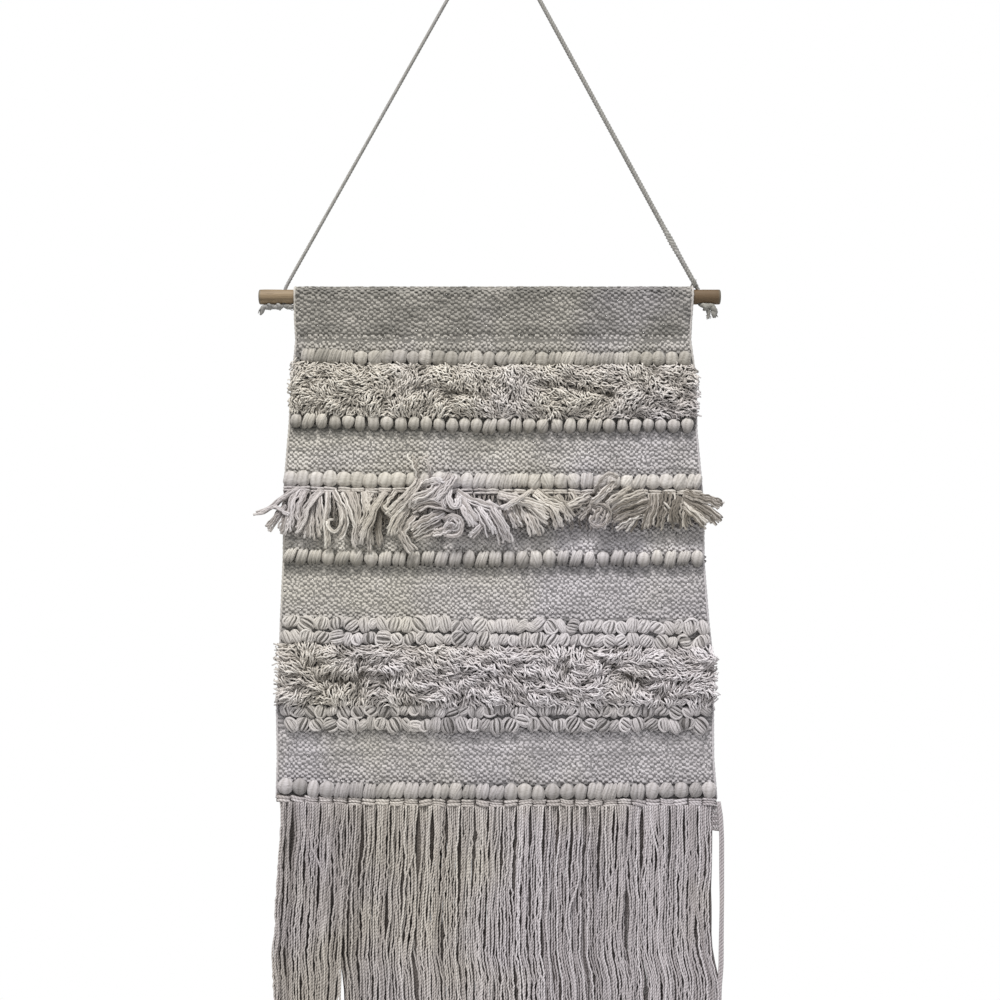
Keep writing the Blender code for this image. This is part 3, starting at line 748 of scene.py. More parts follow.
@dataclass
class GroundCloth:
    """The woven cloth: a thin core, the weft picks that cover it on both faces, and its edges.

    The lit band is painted light: its drop, half height and paleness. The painted light patch is
    its X, half width, drop, half height and paleness. Floats are counted in one pick. The row
    fields say where and how much painted shade the rows of roving leave on the cloth, and the
    seam shade is a painted shadow at the seam.
    """

    form: ClothForm
    pitch: float = 0.00236
    core: float = 0.0011
    bow: float = 0.00042
    over_width: float = 0.00224
    under_width: float = 0.00135
    half_depth: float = 0.00092
    floats: int = 76
    pocket_floats: int = 60
    hidden_floats: int = 40
    pile_floats: int = 30
    flat_top: float = 0.37
    seam_shade: float = 0.13
    lit: Triple = (0.2545, 0.0075, 0.34)
    painted_light_patch: tuple[float, float, float, float, float] = (0.02, 0.09, 0.298, 0.026, 0.08)
    row_drops: tuple[float, ...] = (0.0628, 0.1303, 0.1864, 0.2647, 0.4924)
    row_shade: float = 0.4
    row_reach: float = 0.0062
    margin: float = 0.0006
    flat: Pair = (0.425, 0.579)
    length: float = field(init=False)
    line: Array = field(init=False)

    def __post_init__(self) -> None:
        """Works out the cloth's line once."""
        self.line = self.form.section()
        self.length = float(self.line[-1, 0])

    def spot(self, along: Array, across: Array, out: Array | float) -> tuple[Array, Array]:
        """Places on the cloth.

        Args:
            along: Length from the foot.
            across: Share across.
            out: How far out from the middle of the cloth.

        Returns:
            The places and the outward directions there.
        """
        y, drop, out_y, out_z = (np.interp(along, self.line[:, 0], column) for column in self.line.T[1:])
        x = self.form.edge_x(drop, across)
        wave = self.form.middle(x, drop)
        facing = np.stack(np.broadcast_arrays(0.0 * x, out_y, out_z), axis=-1)
        middle = np.stack(np.broadcast_arrays(x, y + wave, ROD_Z - drop), axis=-1)
        return middle + facing * np.asarray(out)[..., None], facing

    def at_drop(self, drop: float) -> float:
        """The length from the foot to a drop on the panel."""
        return self.form.bottom - drop

    def make_core(self, finish: Material) -> Object:
        """Builds the closed sheet inside the picks, which stands for the cloth.

        Args:
            finish: The cloth's material.

        Returns:
            The sheet.
        """
        rows, columns = 84, 40
        along = np.linspace(self.margin, self.length - self.margin, rows)[:, None]
        across = np.linspace(0.0015, 0.9985, columns)[None, :]
        along, across = np.broadcast_arrays(along, across)
        faces_out = [self.spot(along, across, side * self.core / 2)[0] for side in (1, -1)]
        points = np.concatenate([grid.reshape(-1, 3) for grid in faces_out])
        front = np.arange(rows * columns).reshape(rows, columns)
        back = front + rows * columns
        quads = [
            np.stack([front[:-1, :-1], front[:-1, 1:], front[1:, 1:], front[1:, :-1]], axis=-1).reshape(-1, 4),
            np.stack([back[:-1, :-1], back[1:, :-1], back[1:, 1:], back[:-1, 1:]], axis=-1).reshape(-1, 4),
        ]
        rim = np.concatenate([front[0], front[1:, -1], front[-1, -2::-1], front[-2:0:-1, 0]])
        after = np.roll(rim, -1)
        quads.append(np.stack([after, rim, rim + rows * columns, after + rows * columns], axis=-1))
        mesh = bpy.data.meshes.new("cloth_core")
        mesh.from_pydata(points, [], np.concatenate(quads).tolist())
        mesh.shade_smooth()
        tint = mesh.attributes.new("tint", "FLOAT", "POINT")
        # A low tint: painted shade where the core shows between the picks.
        tint.data.foreach_set("value", np.full(len(points), 0.20))
        mesh.uv_layers.new(name="thread")
        mesh.materials.append(finish)
        return ride(link("cloth_core", mesh), ("cloth",))

    def runs(self) -> tuple[Pick, ...]:
        """The runs of picks, coarser where a row, pile or the rod hides them.

        Returns:
            The runs, from the foot up.
        """
        drop = self.at_drop
        behind = self.form.bottom + 0.012
        return (
            Pick("weft_foot", 0.0008, drop(0.484), self.hidden_floats, 0.3),
            Pick("weft_lower", drop(0.484), drop(0.432), self.floats, 0.455),
            # Painted shade: a low tint for the cloth under the lower pile.
            Pick("weft_under_pile", drop(0.432), drop(0.325), self.pile_floats, 0.2),
            Pick("weft_middle", drop(0.325), drop(0.136), self.floats, 0.465),
            # Painted shade: a low tint for the cloth under the upper pile.
            Pick("weft_under_upper_pile", drop(0.136), drop(0.058), self.pile_floats, 0.2),
            Pick("weft_top", drop(0.058), drop(0.04), self.floats, 0.37),
            # Painted shade: the pocket's low tint stands for the shade on its front, which faces down.
            Pick("weft_pocket", drop(0.04), behind, self.pocket_floats, 0.22, 0.1),
            Pick("weft_behind", behind, self.length - self.margin, self.hidden_floats, 0.46),
        )

    def interlace(self, even: Array, floats: int) -> tuple[Array, Array]:
        """Where the stations of picks are: three for each float, half a step on in every other pick.

        Args:
            even: Which picks are even, as a column.
            floats: How many floats a pick has.

        Returns:
            Shares across, and 1 where a station floats over the warp or 0 where it goes under.
        """
        step = 2.0 * np.arange(floats)[:, None]
        half = self.flat_top
        places = [(step + np.array(trio)).reshape(-1) for trio in ((-half, half, 1), (0, 1 - half, 1 + half))]
        warp = 0.001 + 0.998 * (np.where(even, *places) + half) / (2 * floats - 1 + 2 * half)
        return warp, np.where(even, np.tile((1.0, 1.0, 0.0), floats), np.tile((0.0, 1.0, 1.0), floats))

    def shaded(self, tint: Array, centres: Array) -> Array:
        """Paints shade on picks at the seam and behind the rows, and paints light on the lit band and the painted
        light patch.

        Args:
            tint: The tint of each station.
            centres: The places of the stations.

        Returns:
            The new tint.
        """
        drop = ROD_Z - centres[..., 2]
        below = drop - self.form.seam
        # Painted shadow: a dark line at the seam where the pocket folds over, and a fainter band on the pocket just
        # above it.
        tint = tint - self.seam_shade * (hump(below, -0.0006, 0.0011) + 0.35 * hump(below, -0.0055, 0.0060))
        # Painted light: a paler band of cloth below the middle fringe.
        lit_drop, lit_half, lit_paler = self.lit
        tint = tint + lit_paler * hump(drop, lit_drop, lit_half)
        # Painted light: a paler patch in the middle of the cloth.
        x, half_x, middle, half_drop, paler = self.painted_light_patch
        tint = tint + paler * hump(centres[..., 0], x, half_x) * hump(drop, middle, half_drop)
        # Painted shade on the cloth behind each row of roving.
        for row in self.row_drops:
            tint = tint - self.row_shade * hump(drop, row, self.row_reach)
        return tint

    def make_picks(self, run: Pick, finish: Material, seed: int) -> Object:
        """Builds one run of picks: each goes over and under the warp by turns.

        Args:
            run: The run.
            finish: The cloth's material.
            seed: The seed of its random numbers.

        Returns:
            The run as one piece.
        """
        chance = np.random.default_rng(seed)
        number = np.arange(math.ceil(run.start / self.pitch), math.ceil(run.end / self.pitch))
        warp, over = self.interlace((number % 2 == 0)[:, None], run.floats)

        def each(low: float, high: float) -> Array:
            """A random value for each float, the same at its three stations."""
            return np.repeat(chance.uniform(low, high, (len(number), run.floats)), 3, axis=1)

        base = (number * self.pitch + chance.normal(0, 0.00016, len(number)))[:, None]
        x_guess = self.form.edge_x(0.25, warp)
        drift = Drift(41, 0.060).at(x_guess, base) * 0.00036 + Drift(42, 0.014).at(x_guess, base) * 0.00042
        along = np.clip(base + drift + each(-0.00052, 0.00052), 0.0005, self.length - 0.0005)
        sway = Drift(44, 0.024).at(x_guess, base) * 0.0026 + each(-0.0032, 0.0032)
        turn = 2 * over - 1
        centres, facing = self.spot(along, np.clip(warp + sway, 0.0, 1.0), self.bow * turn * each(0.5, 1.45))
        size = chance.uniform(0.92, 1.10, (len(number), 1)) * each(0.80, 1.18)
        width = self.under_width + (self.over_width - self.under_width) * over
        tint = run.tint + chance.normal(0, 0.04, (len(number), 1))
        tint = self.shaded(tint + 0.08 * Drift(43, 0.045).at(centres[..., 0], centres[..., 2]), centres)
        # Painted shade: stations that go under the warp are darker than the floats beside them.
        tint = np.clip(tint + run.under_painted_shade * (turn - 1) + each(-0.05, 0.05), 0, 1)
        yarns = Yarns()
        yarns.lay(centres, width * size, self.half_depth * size, facing, 3, tint, turned=0.25)
        return add_piece(yarns, run.name, finish)

    def make_edges(self, finish: Material) -> Object:
        """Builds the selvedges, where the weft turns round the outermost warp.

        Args:
            finish: The cloth's material.

        Returns:
            Both selvedges as one piece.
        """
        chance = np.random.default_rng(7)
        yarns = Yarns()
        count = 380
        along = np.linspace(0.0008, self.length - 0.0008, count)
        for side in (0.002, 0.998):
            centres, facing = self.spot(along, np.full(count, side), 0.0)
            lumps = 1 + 0.16 * np.sin(along * TWO_PI / (2 * self.pitch)) + chance.uniform(-0.1, 0.1, count)
            yarns.lay(centres, 0.00125 * lumps, 0.00145 * lumps, facing, 6, 0.55)
        return add_piece(yarns, "selvedges", finish)

    def make(self) -> None:
        """Builds the cloth."""
        finish = GROUND.make()
        core = self.make_core(finish)
        cover = [self.make_picks(run, finish, 100 + i) for i, run in enumerate(self.runs())]
        cover.append(self.make_edges(finish))


@dataclass
class Work:
    """What yarn is laid with: the cloth, the random numbers and the yarn so far."""

    form: ClothForm
    chance: Chance
    yarns: Yarns = field(default_factory=Yarns)


@dataclass(frozen=True)
class WoodenRod:
    """The dowel, with rounded rims and an upright hole near each end for the cord."""

    radius: float = 0.0075
    rounding: float = 0.0012
    sides: int = 56
    hole: float = 0.0034
    holes: Pair = (-0.2122, 0.2078)

    def make(self) -> None:
        """Builds the rod and drills it."""
        left, right = ROD_ENDS
        length = right - left
        turn = np.linspace(0, math.pi / 2, 6)
        rim = self.rounding * (1 - np.cos(turn))
        radii = self.radius - self.rounding + self.rounding * np.sin(turn)
        inside = np.linspace(self.rounding, length - self.rounding, 90)[1:-1]
        wander = Drift(3, 0.08).at(inside, 0 * inside) * 0.00010
        along = np.concatenate([rim, inside, length - rim[::-1]])
        radii = np.concatenate([radii, self.radius + wander, radii[::-1]])
        centres = np.zeros((len(along), 3))
        centres[:, 0] = left + along
        centres[:, 2] = ROD_Z
        yarns = Yarns()
        yarns.lay(centres, radii, sides=self.sides)
        mesh = yarns.mesh("wooden_rod")
        mesh.materials.append(WoodFinish().make())
        rod = ride(link("wooden_rod", mesh), ("rod",))
        self.drill(rod)
        rod.data.set_sharp_from_angle(angle=math.radians(50))

    def drill(self, rod: Object) -> None:
        """Cuts both holes and keeps the cut in the mesh.

        Args:
            rod: The rod, whose mesh is replaced.
        """
        drills = []
        for x in self.holes:
            centres = np.array([[x, 0, ROD_Z + share * self.radius] for share in (-2, 0, 2)])
            yarns = Yarns()
            yarns.lay(centres, self.hole, sides=self.sides // 2)
            drill = link("drill", yarns.mesh("drill"))
            cut = rod.modifiers.new("hole", "BOOLEAN")
            cut.object = drill
            drills.append(drill)
        graph = bpy.context.evaluated_depsgraph_get()
        cut_mesh = bpy.data.meshes.new_from_object(rod.evaluated_get(graph))
        rod.modifiers.clear()
        rod.data = cut_mesh
        for drill in drills:
            bpy.data.objects.remove(drill, do_unlink=True)


@dataclass(frozen=True)
class HangingCord:
    """The twisted cord that goes up from one hole, over the nail and down into the other.

    The route is rows of X, Z and radius. The plies splay where the cord frays at the right.
    """

    diameter: float = 0.004
    length: float = 0.905
    lay_length: float = 0.0105
    plies: int = 3
    ply_offset: float = 0.28
    ply_radius: float = 0.84
    stations: int = 520
    route_stations: int = 180
    splay: float = 0.9
    splay_start: float = 0.835
    route: Table = (
        (-0.2122, -0.3963, 0.00182), (-0.2122, -0.39, 0.00182), (-0.212, -0.385, 0.00182),
        (-0.2108, -0.38, 0.00182), (-0.208, -0.3738, 0.00182), (-0.185, -0.3312, 0.00182),
        (-0.155, -0.2758, 0.00182), (-0.125, -0.2204, 0.00182), (-0.095, -0.165, 0.00182),
        (-0.065, -0.1096, 0.00183), (-0.035, -0.0542, 0.00184), (-0.013, -0.0136, 0.00185),
        (-0.007, -0.0033, 0.00186), (-0.0036, 0.0007, 0.00187), (0.0002, 0.002, 0.00188),
        (0.004, 0.0005, 0.0019), (0.0074, -0.0036, 0.00192), (0.013, -0.014, 0.00194),
        (0.035, -0.0559, 0.00215), (0.065, -0.1129, 0.00235), (0.095, -0.17, 0.00245),
        (0.125, -0.227, 0.00252), (0.155, -0.2841, 0.00258), (0.185, -0.3411, 0.00262),
        (0.2026, -0.3738, 0.0025), (0.2058, -0.3794, 0.002), (0.2074, -0.384, 0.0019),
        (0.2078, -0.39, 0.0019), (0.2078, -0.3963, 0.0019),
    )

    def make(self, finish: Material, ends: list[Object]) -> None:
        """Args:
            finish: The cord's material.
            ends: The tied ends. Not used.
        """
        route = np.array([(x, 0.0, z, radius) for x, z, radius in self.route])
        path = curve_through(route, self.stations)
        middle, radius = path[:, :3], path[:, 3]
        ahead = unit(np.gradient(middle, axis=0))
        side = unit(np.cross(ahead, TO_THE_FRONT))
        along = lengths_along(middle)
        flat = 1 + self.splay * hump(along, self.splay_start, 0.012)
        yarns = Yarns()
        for ply in range(self.plies):
            angle = TWO_PI * (along / self.lay_length + ply / self.plies)
            reach = self.ply_offset * radius
            aside, out = reach * flat * np.cos(angle), reach * np.sin(angle)
            offset = aside[:, None] * side + out[:, None] * TO_THE_FRONT
            tint = np.clip(0.5 + 0.12 * (ply - 1) + 0.15 * Drift(60 + ply, 0.05).at(along, 0 * along), 0, 1)
            yarns.lay(middle + offset, self.ply_radius * radius, None, unit(offset), 6, tint)
        cord = add_piece(yarns, "twisted_cord", finish, ("hanging_cord",))
        path_points = [tuple(map(float, point[:3])) for point in curve_through(route, self.route_stations)]


@dataclass(frozen=True)
class TiedEnd:
    """One end of the cord below the rod: a knot of turns, tails and loose fibres.

    The turns and tails are rows of X, Y, drop and radius. A fray is an X and a drop to start
    from, how far it goes right and down, and how many fibres it has.
    """

    name: str
    node: str
    seed: int
    turns: Table
    tails: tuple[Table, ...]
    frays: Table
    fibre: float = 0.00042

    def make(self, finish: Material) -> Object:
        """Builds the knot.

        Args:
            finish: The cord's material there.

        Returns:
            The knot.
        """
        chance = np.random.default_rng(self.seed)
        yarns = Yarns()
        for rows in (self.turns, *self.tails):
            points = np.array([(x, y, ROD_Z - drop, radius) for x, y, drop, radius in rows])
            path = curve_through(points, 12 * len(rows))
            self.twisted(yarns, path[:, :3], path[:, 3], chance)
        for x, drop, right, down, count in self.frays:
            count = int(count)
            root = np.array([x, -0.002, ROD_Z - drop]) + chance.normal(0, 0.0009, (count, 3))
            reach = np.array([right, 0.0, -down])
            tip = root + reach * chance.uniform(0.6, 1.1, (count, 1)) + chance.normal(0, 0.0009, (count, 3))
            bend = (root + tip) / 2 + chance.normal(0, 0.0009, (count, 3))
            fibres = bowed(root, bend, bend, tip, 8)
            tint = chance.uniform(0.1, 0.7, (count, 1))
            yarns.lay(fibres, self.fibre, None, np.array([0.3, 0.2, 1.0]), 4, tint)
        return add_piece(yarns, self.name, finish, (self.node,))

    @staticmethod
    def twisted(yarns: Yarns, middle: Array, radius: Array, chance: Chance) -> None:
        """Adds one length of two-ply cord.

        Args:
            yarns: Takes the plies.
            middle: The stations of its middle line.
            radius: Its radius at each.
            chance: The knot's random numbers.
        """
        ahead = unit(np.gradient(middle, axis=0))
        side = unit(np.cross(ahead, np.array([0.15, 0.9, 0.4])))
        out = np.cross(side, ahead)
        along = lengths_along(middle)
        for ply in range(2):
            angle = (TWO_PI * (along / 0.013 + ply / 2))[:, None]
            offset = 0.20 * radius[:, None] * (np.cos(angle) * side + np.sin(angle) * out)
            yarns.lay(middle + offset, 0.86 * radius, None, unit(offset), 7, chance.uniform(0.35, 0.75))


class RovingBead(Enum):
    """How the roving stands in one bead of a row."""

    PLUMP = 1
    PAIR = 2
    TRIPLE = 3
    CROSSED = 4


@dataclass
class RovingRow:
    """A thick row of beads of soft roving: plump turns, strands side by side, or one crossed by another.

    The drops are those of its middle line at PLACES, and its ends are shares across. The beads
    are a figure each, from the left, which is the value of their RovingBead. Fill is a bead's
    width as a share of its place, and tuck is how far its top and foot are sunk in the cloth.
    """

    number: int
    drops: tuple[float, ...]
    ends: Pair
    beads: str
    height: float
    depth: float
    shade: float
    stations: int = 11
    sides: int = 8
    square: Pair = (2.1, 3.4)
    top_painted_light: float = 0.08
    fill: float = 1.0
    tuck: float = 0.0016

    def make(self, form: ClothForm, finish: Material) -> None:
        """Builds the row on the cloth's face.

        Args:
            form: The cloth.
            finish: The row's material.
        """
        work = Work(form, np.random.default_rng(500 + self.number))
        edges = uneven_edges(work.chance, len(self.beads), (0.90, 1.10), self.ends)
        for left, right, kind in zip(edges, edges[1:], self.beads):
            self.bead(work, (left, right), RovingBead(int(kind)))
        node = f"roving_row_{self.number}"
        add_piece(work.yarns, f"roving_{self.number}", finish, (node,))

    def bead(self, work: Work, sides: Pair, kind: RovingBead) -> None:
        """Adds one bead, square-shouldered and tucked in at its top and foot.

        Args:
            work: What it is laid with.
            sides: Shares across of the bead's left and right sides.
            kind: How many strands it has.
        """
        form, chance = work.form, work.chance
        middle = (sides[0] + sides[1]) / 2
        drop = float(drop_at(self.drops, middle)) + chance.normal(0, 0.0005)
        x = float(form.edge_x(drop, middle))
        back = float(form.face(x, drop))
        wide = self.fill * float(form.edge_x(drop, sides[1]) - form.edge_x(drop, sides[0]))
        tall = self.height * chance.uniform(0.88, 1.10)
        shade = self.shade + chance.normal(0, 0.08)
        turn = np.linspace(0.03, 0.97, self.stations) * math.pi
        square = chance.uniform(*self.square)
        body = (1 - np.abs(np.cos(turn)) ** square) ** 0.42
        for aside, lean, half_width, half_depth, proud in self.strands(kind, wide, chance):
            level = tall * chance.uniform(0.95, 1.02) / 2 - 0.0004
            out = self.depth - half_depth - 0.0007 + proud
            xs = x + aside + lean * np.cos(turn) + chance.normal(0, 0.0002)
            ys = back + self.tuck - (out + self.tuck) * np.sin(turn) ** 0.5
            centres = np.stack([xs, ys, ROD_Z - drop + level * np.cos(turn)], axis=1)
            belly = 1 + 0.07 * np.sin(turn * 2 + chance.uniform(0, 6))
            belly = body * (belly + 0.05 * np.sin(turn * 4 + chance.uniform(0, 6)))
            # Painted light and shade: each bead's top is paler and its foot darker.
            tint = np.clip(shade + chance.normal(0, 0.05) + self.top_painted_light * np.cos(turn), 0, 1)
            work.yarns.lay(centres, half_width * belly, half_depth * body, sides=self.sides, tint=tint)

    @staticmethod
    def strands(kind: RovingBead, wide: float, chance: Chance) -> list[tuple[float, ...]]:
        """The strands of one bead.

        Args:
            kind: The kind of bead.
            wide: Its width.
            chance: The row's random numbers.

        Returns:
            For each, how far aside it is, its lean, half its width, half its depth, and how much
            prouder it is.
        """
        if kind is RovingBead.PLUMP:
            return [(0.0, chance.normal(0.0003, 0.0006), 0.535 * wide, 0.0042, 0.0)]
        if kind is RovingBead.CROSSED:
            way = 1 if chance.uniform() < 0.7 else -1
            under = (0.0, 0.0, 0.53 * wide, 0.0040, -0.0003)
            return [under, (0.04 * way * wide, 0.27 * way * wide, 0.23 * wide, 0.0030, 0.0005)]
        count = kind.value
        lean = chance.uniform(0.0004, 0.0028)
        half_width = (0.62, 0.68)[count - 2] * wide / count
        places = ((np.arange(count) + 0.5) / count - 0.5) * 0.88 * wide
        return [(float(place), lean, half_width, (0.0037, 0.0034)[count - 2], 0.0) for place in places]


@dataclass
class LoopRow:
    """A row of small puffs, each a loop of yarn that has twisted up on itself.

    Most stand aslant, and a share of them, curls, have one strand that curls round their side.
    """

    number: int
    drops: tuple[float, ...]
    ends: Pair
    loops: int
    height: float
    depth: float
    curls: float
    shade: float
    stations: int = 8
    strands: int = 6
    radius: float = 0.00128
    deepest: float = 0.0026
    tilt: Pair = (14.0, 34.0)
    bulge: float = 1.4
    facing: Triple = (0.12, -1.0, 0.12)

    def make(self, form: ClothForm, finish: Material) -> None:
        """Builds the row on the cloth's face.

        Args:
            form: The cloth.
            finish: The row's material.
        """
        work = Work(form, np.random.default_rng(700 + self.number))
        chance = work.chance
        edges = uneven_edges(chance, self.loops, (0.62, 1.40), self.ends)
        for left, right in zip(edges, edges[1:]):
            across = (left + right) / 2
            drop = float(drop_at(self.drops, across)) + chance.normal(0, 0.0009)
            half_x = 0.62 * float(form.edge_x(drop, right) - form.edge_x(drop, left))
            half_z = self.height / 2 * chance.uniform(0.76, 1.14)
            self.puff(work, np.array([float(form.edge_x(drop, across)), ROD_Z - drop]), (half_x, half_z))
        node = f"loop_row_{self.number}"
        add_piece(work.yarns, f"loops_{self.number}", finish, (node,))

    def puff(self, work: Work, middle: Array, half: Pair) -> None:
        """Adds one puff: a dark inside that is painted shade, strands that wind up round it and perhaps a curl.

        Args:
            work: What it is laid with.
            middle: The X and Z of its middle.
            half: Half its width and height.
        """
        chance, size = work.chance, (self.strands, 1)
        tilt = math.radians(chance.normal(*self.tilt))
        turned = np.array([[math.cos(tilt), -math.sin(tilt)], [math.sin(tilt), math.cos(tilt)]]).T
        way = np.linspace(-1, 1, self.stations)[None, :]
        body = np.cos(way * self.bulge) ** 0.55
        radius = self.radius * chance.uniform(0.86, 1.16, size)
        wide, tall = half[0] - self.radius * 0.9, half[1] - self.radius * 0.8
        angle = np.linspace(-1.35, 1.35, self.strands)[:, None] + chance.normal(0, 0.12, size)
        angle = angle + chance.choice((-1, 1), p=(0.2, 0.8)) * chance.uniform(0.25, 0.80) * way
        rise_z = tall * np.sin(way * self.bulge) / math.sin(self.bulge)
        plan = np.stack([wide * body * np.sin(angle), rise_z + 0 * angle], axis=-1)
        proud = (self.depth - self.radius) * body * (0.35 + 0.65 * np.cos(angle))
        proud = proud * chance.uniform(0.84, 1.06, size)
        shade = self.shade + chance.normal(0, 0.07)
        # Painted shade: strands get darker towards their ends, where they tuck into the cloth.
        tint = (shade + chance.normal(0, 0.06, size)) * (0.55 + 0.45 * body)
        self.lay_plan(work, middle + plan @ turned, proud, radius * (0.55 + 0.45 * body), tint)
        # The dark inside is painted shade within the puff and between puffs.
        inside = np.stack([0 * way, tall * 0.92 * np.sin(way * self.bulge)], axis=-1)
        self.lay_plan(work, middle + inside @ turned, 0.30 * self.depth * body, 0.80 * wide * body, shade - 0.45)
        if chance.uniform() < self.curls:
            bend = math.pi / 2 + chance.uniform(-0.5, 0.5) + way * chance.uniform(1.3, 2.2)
            ring = np.stack([(half[0] - 0.0009) * np.sin(bend), (half[1] - 0.0009) * np.cos(bend)], axis=-1)
            ring[..., 0] *= chance.choice((-1, 1), p=(0.7, 0.3))
            out = self.depth * 0.72 * (1 - 0.45 * way**2)
            curl = self.radius * 1.05 * (1 - 0.3 * way**4)
            self.lay_plan(work, middle + ring @ turned, out, curl, shade + 0.12)

    def lay_plan(self, work: Work, plan: Array, out: Array, radius: Array, tint: Array) -> None:
        """Adds strands that are given as seen from the front.

        Args:
            work: What they are laid with.
            plan: The X and Z of each station.
            out: How far out from the cloth's face it is.
            radius: The strand's radius there.
            tint: Its tint there.
        """
        back = work.form.face(plan[..., 0], ROD_Z - plan[..., 1])
        centres = np.stack([plan[..., 0], back - out, plan[..., 1]], axis=-1)
        depth = np.minimum(radius, self.deepest)
        work.yarns.lay(centres, radius, depth, np.array(self.facing), 5, np.clip(tint, 0, 1))


@dataclass
class Pile:
    """A band of cut and looped yarn that lies in swirling patches.

    The top and bottom are rows of share across and drop. The flow is rows of share across and
    the directions, in degrees, in which yarn lies at the band's top and foot. A cleft is two ends
    as share across and share down, a half width and how deep it goes. Paler is rows of share
    across and how much paler the yarn is there.
    """

    name: str
    node: str
    seed: int
    top: Table
    bottom: Table
    count: int
    depth: float
    flow: Table
    clefts: Table
    paler: Table
    overhang: float = 0.004
    length: float = 0.0112
    radius: float = 0.0008
    crimp: float = 0.36
    stations: int = 7
    ridge: float = 0.18
    combed: Pair = (0.45, 0.25)
    loose: float = 0.17
    sunk_root: float = 0.001

    def make(self, form: ClothForm, finish: Material) -> None:
        """Builds the band on the cloth's face.

        Args:
            form: The cloth.
            finish: The band's material.
        """
        chance = np.random.default_rng(self.seed)
        across, down = self.scatter(chance)
        (top,), (bottom,) = read_off(self.top, across), read_off(self.bottom, across)
        drop = top + (bottom - top) * down
        x, z = form.edge_x(drop, across), ROD_Z - drop
        back = form.face(x, drop)
        each = (len(x), 1)

        angle = self.lie(across, down, x, z) + chance.normal(0, self.loose, len(x))
        length = self.length * chance.uniform(0.55, 1.35, len(x))
        lumps = self.lumps(x, z)
        rim = rise(np.minimum(down, 1 - down), 0.0, 0.22)
        sunk = self.sunk(across, down)
        proud = self.depth * lumps * (0.55 + 0.45 * rim) * chance.uniform(0.80, 1.10, len(x)) * sunk

        share = np.linspace(0, 1, self.stations)
        bend = chance.normal(0, 0.45, each) * (share - 0.5) * 2
        crimp = self.crimp * chance.uniform(0.5, 1.3, each)
        crimp = crimp * np.sin(share * chance.uniform(7, 12, each) + chance.uniform(0, 6, each))
        heading = angle[:, None] + bend + crimp
        step = (length / (self.stations - 1))[:, None]
        run_x, run_z = ((step * turn(heading)).cumsum(axis=1) for turn in (np.cos, np.sin))
        cut_end = chance.uniform(0, 1, each) < 0.45
        arch = np.sin(math.pi * (0.06 + 0.88 * share)) ** 0.55
        arch = np.where(cut_end, np.sin(math.pi * (0.06 + 0.60 * share)) ** 0.6, arch)
        xs = x[:, None] + run_x - run_x[:, [self.stations // 2]]
        zs = z[:, None] + run_z - run_z[:, [self.stations // 2]] - 0.0008
        ys = back[:, None] + self.sunk_root - (proud[:, None] + self.sunk_root) * arch
        left, right = read_off(form.edges, ROD_Z - zs)
        reach = self.overhang * (1 + 0.5 * Drift(self.seed + 5, 0.02).at(z, z))[:, None]
        paths = np.stack([np.clip(xs, left - reach, right + reach), ys, zs], axis=2)
        sideways = np.stack([-np.sin(angle), 0 * x, np.cos(angle)], axis=1)

        (paler,) = read_off(self.paler, across)
        # Painted light and shade: yarn is paler where the pile stands fuller, darker in the clefts and darker near
        # the cloth.
        tint = 0.50 + paler + 0.80 * (lumps - 1) + chance.normal(0, 0.09, len(x))
        tint = np.clip(tint - 0.55 * (1 - sunk), 0, 1)[:, None] * (0.80 + 0.20 * arch)
        size = self.radius * chance.uniform(0.85, 1.2, each) * (1 - 0.2 * rise(share, 0.85, 1.0))[None, :]
        yarns = Yarns()
        yarns.lay(paths, size, None, sideways[:, None], 3, tint)
        add_piece(yarns, self.name, finish, (self.node,))

    def scatter(self, chance: Chance) -> tuple[Array, Array]:
        """Where the yarns are, in rows that are well shaken.

        Args:
            chance: The band's random numbers.

        Returns:
            Shares across and shares down.
        """
        columns = int(math.sqrt(self.count * 9.5))
        rows = self.count // columns
        across, down = np.meshgrid((np.arange(columns) + 0.5) / columns, (np.arange(rows) + 0.5) / rows)
        across = (across + chance.uniform(-0.6, 0.6, across.shape) / columns).reshape(-1)
        down = (down + chance.uniform(-0.6, 0.6, down.shape) / rows).reshape(-1)
        return across.clip(0.002, 0.998), down.clip(0.0, 1.0)

    def lie(self, across: Array, down: Array, x: Array, z: Array) -> Array:
        """The direction in which yarn lies: the flow, and swirls of two sizes.

        Args:
            across: Shares across.
            down: Shares down.
            x: The X there.
            z: The Z there.

        Returns:
            Angles from the X axis.
        """
        at_top, at_foot = read_off(self.flow, across)
        swirl = 0.8 * Drift(self.seed + 1, 0.050).at(x, z) + 0.6 * Drift(self.seed + 2, 0.015).at(x, z)
        return np.radians(at_top + (at_foot - at_top) * down) + swirl

    def lumps(self, x: Array, z: Array) -> Array:
        """How full the pile is at places: lumps of two sizes and combed ridges, about 1."""
        lumps = 1 + 0.22 * Drift(self.seed + 3, 0.030).at(x, z) + 0.10 * Drift(self.seed + 4, 0.011).at(x, z)
        return lumps + self.ridge * Drift(self.seed + 6, 0.0125).at(x * self.combed[0] + z * self.combed[1], z)

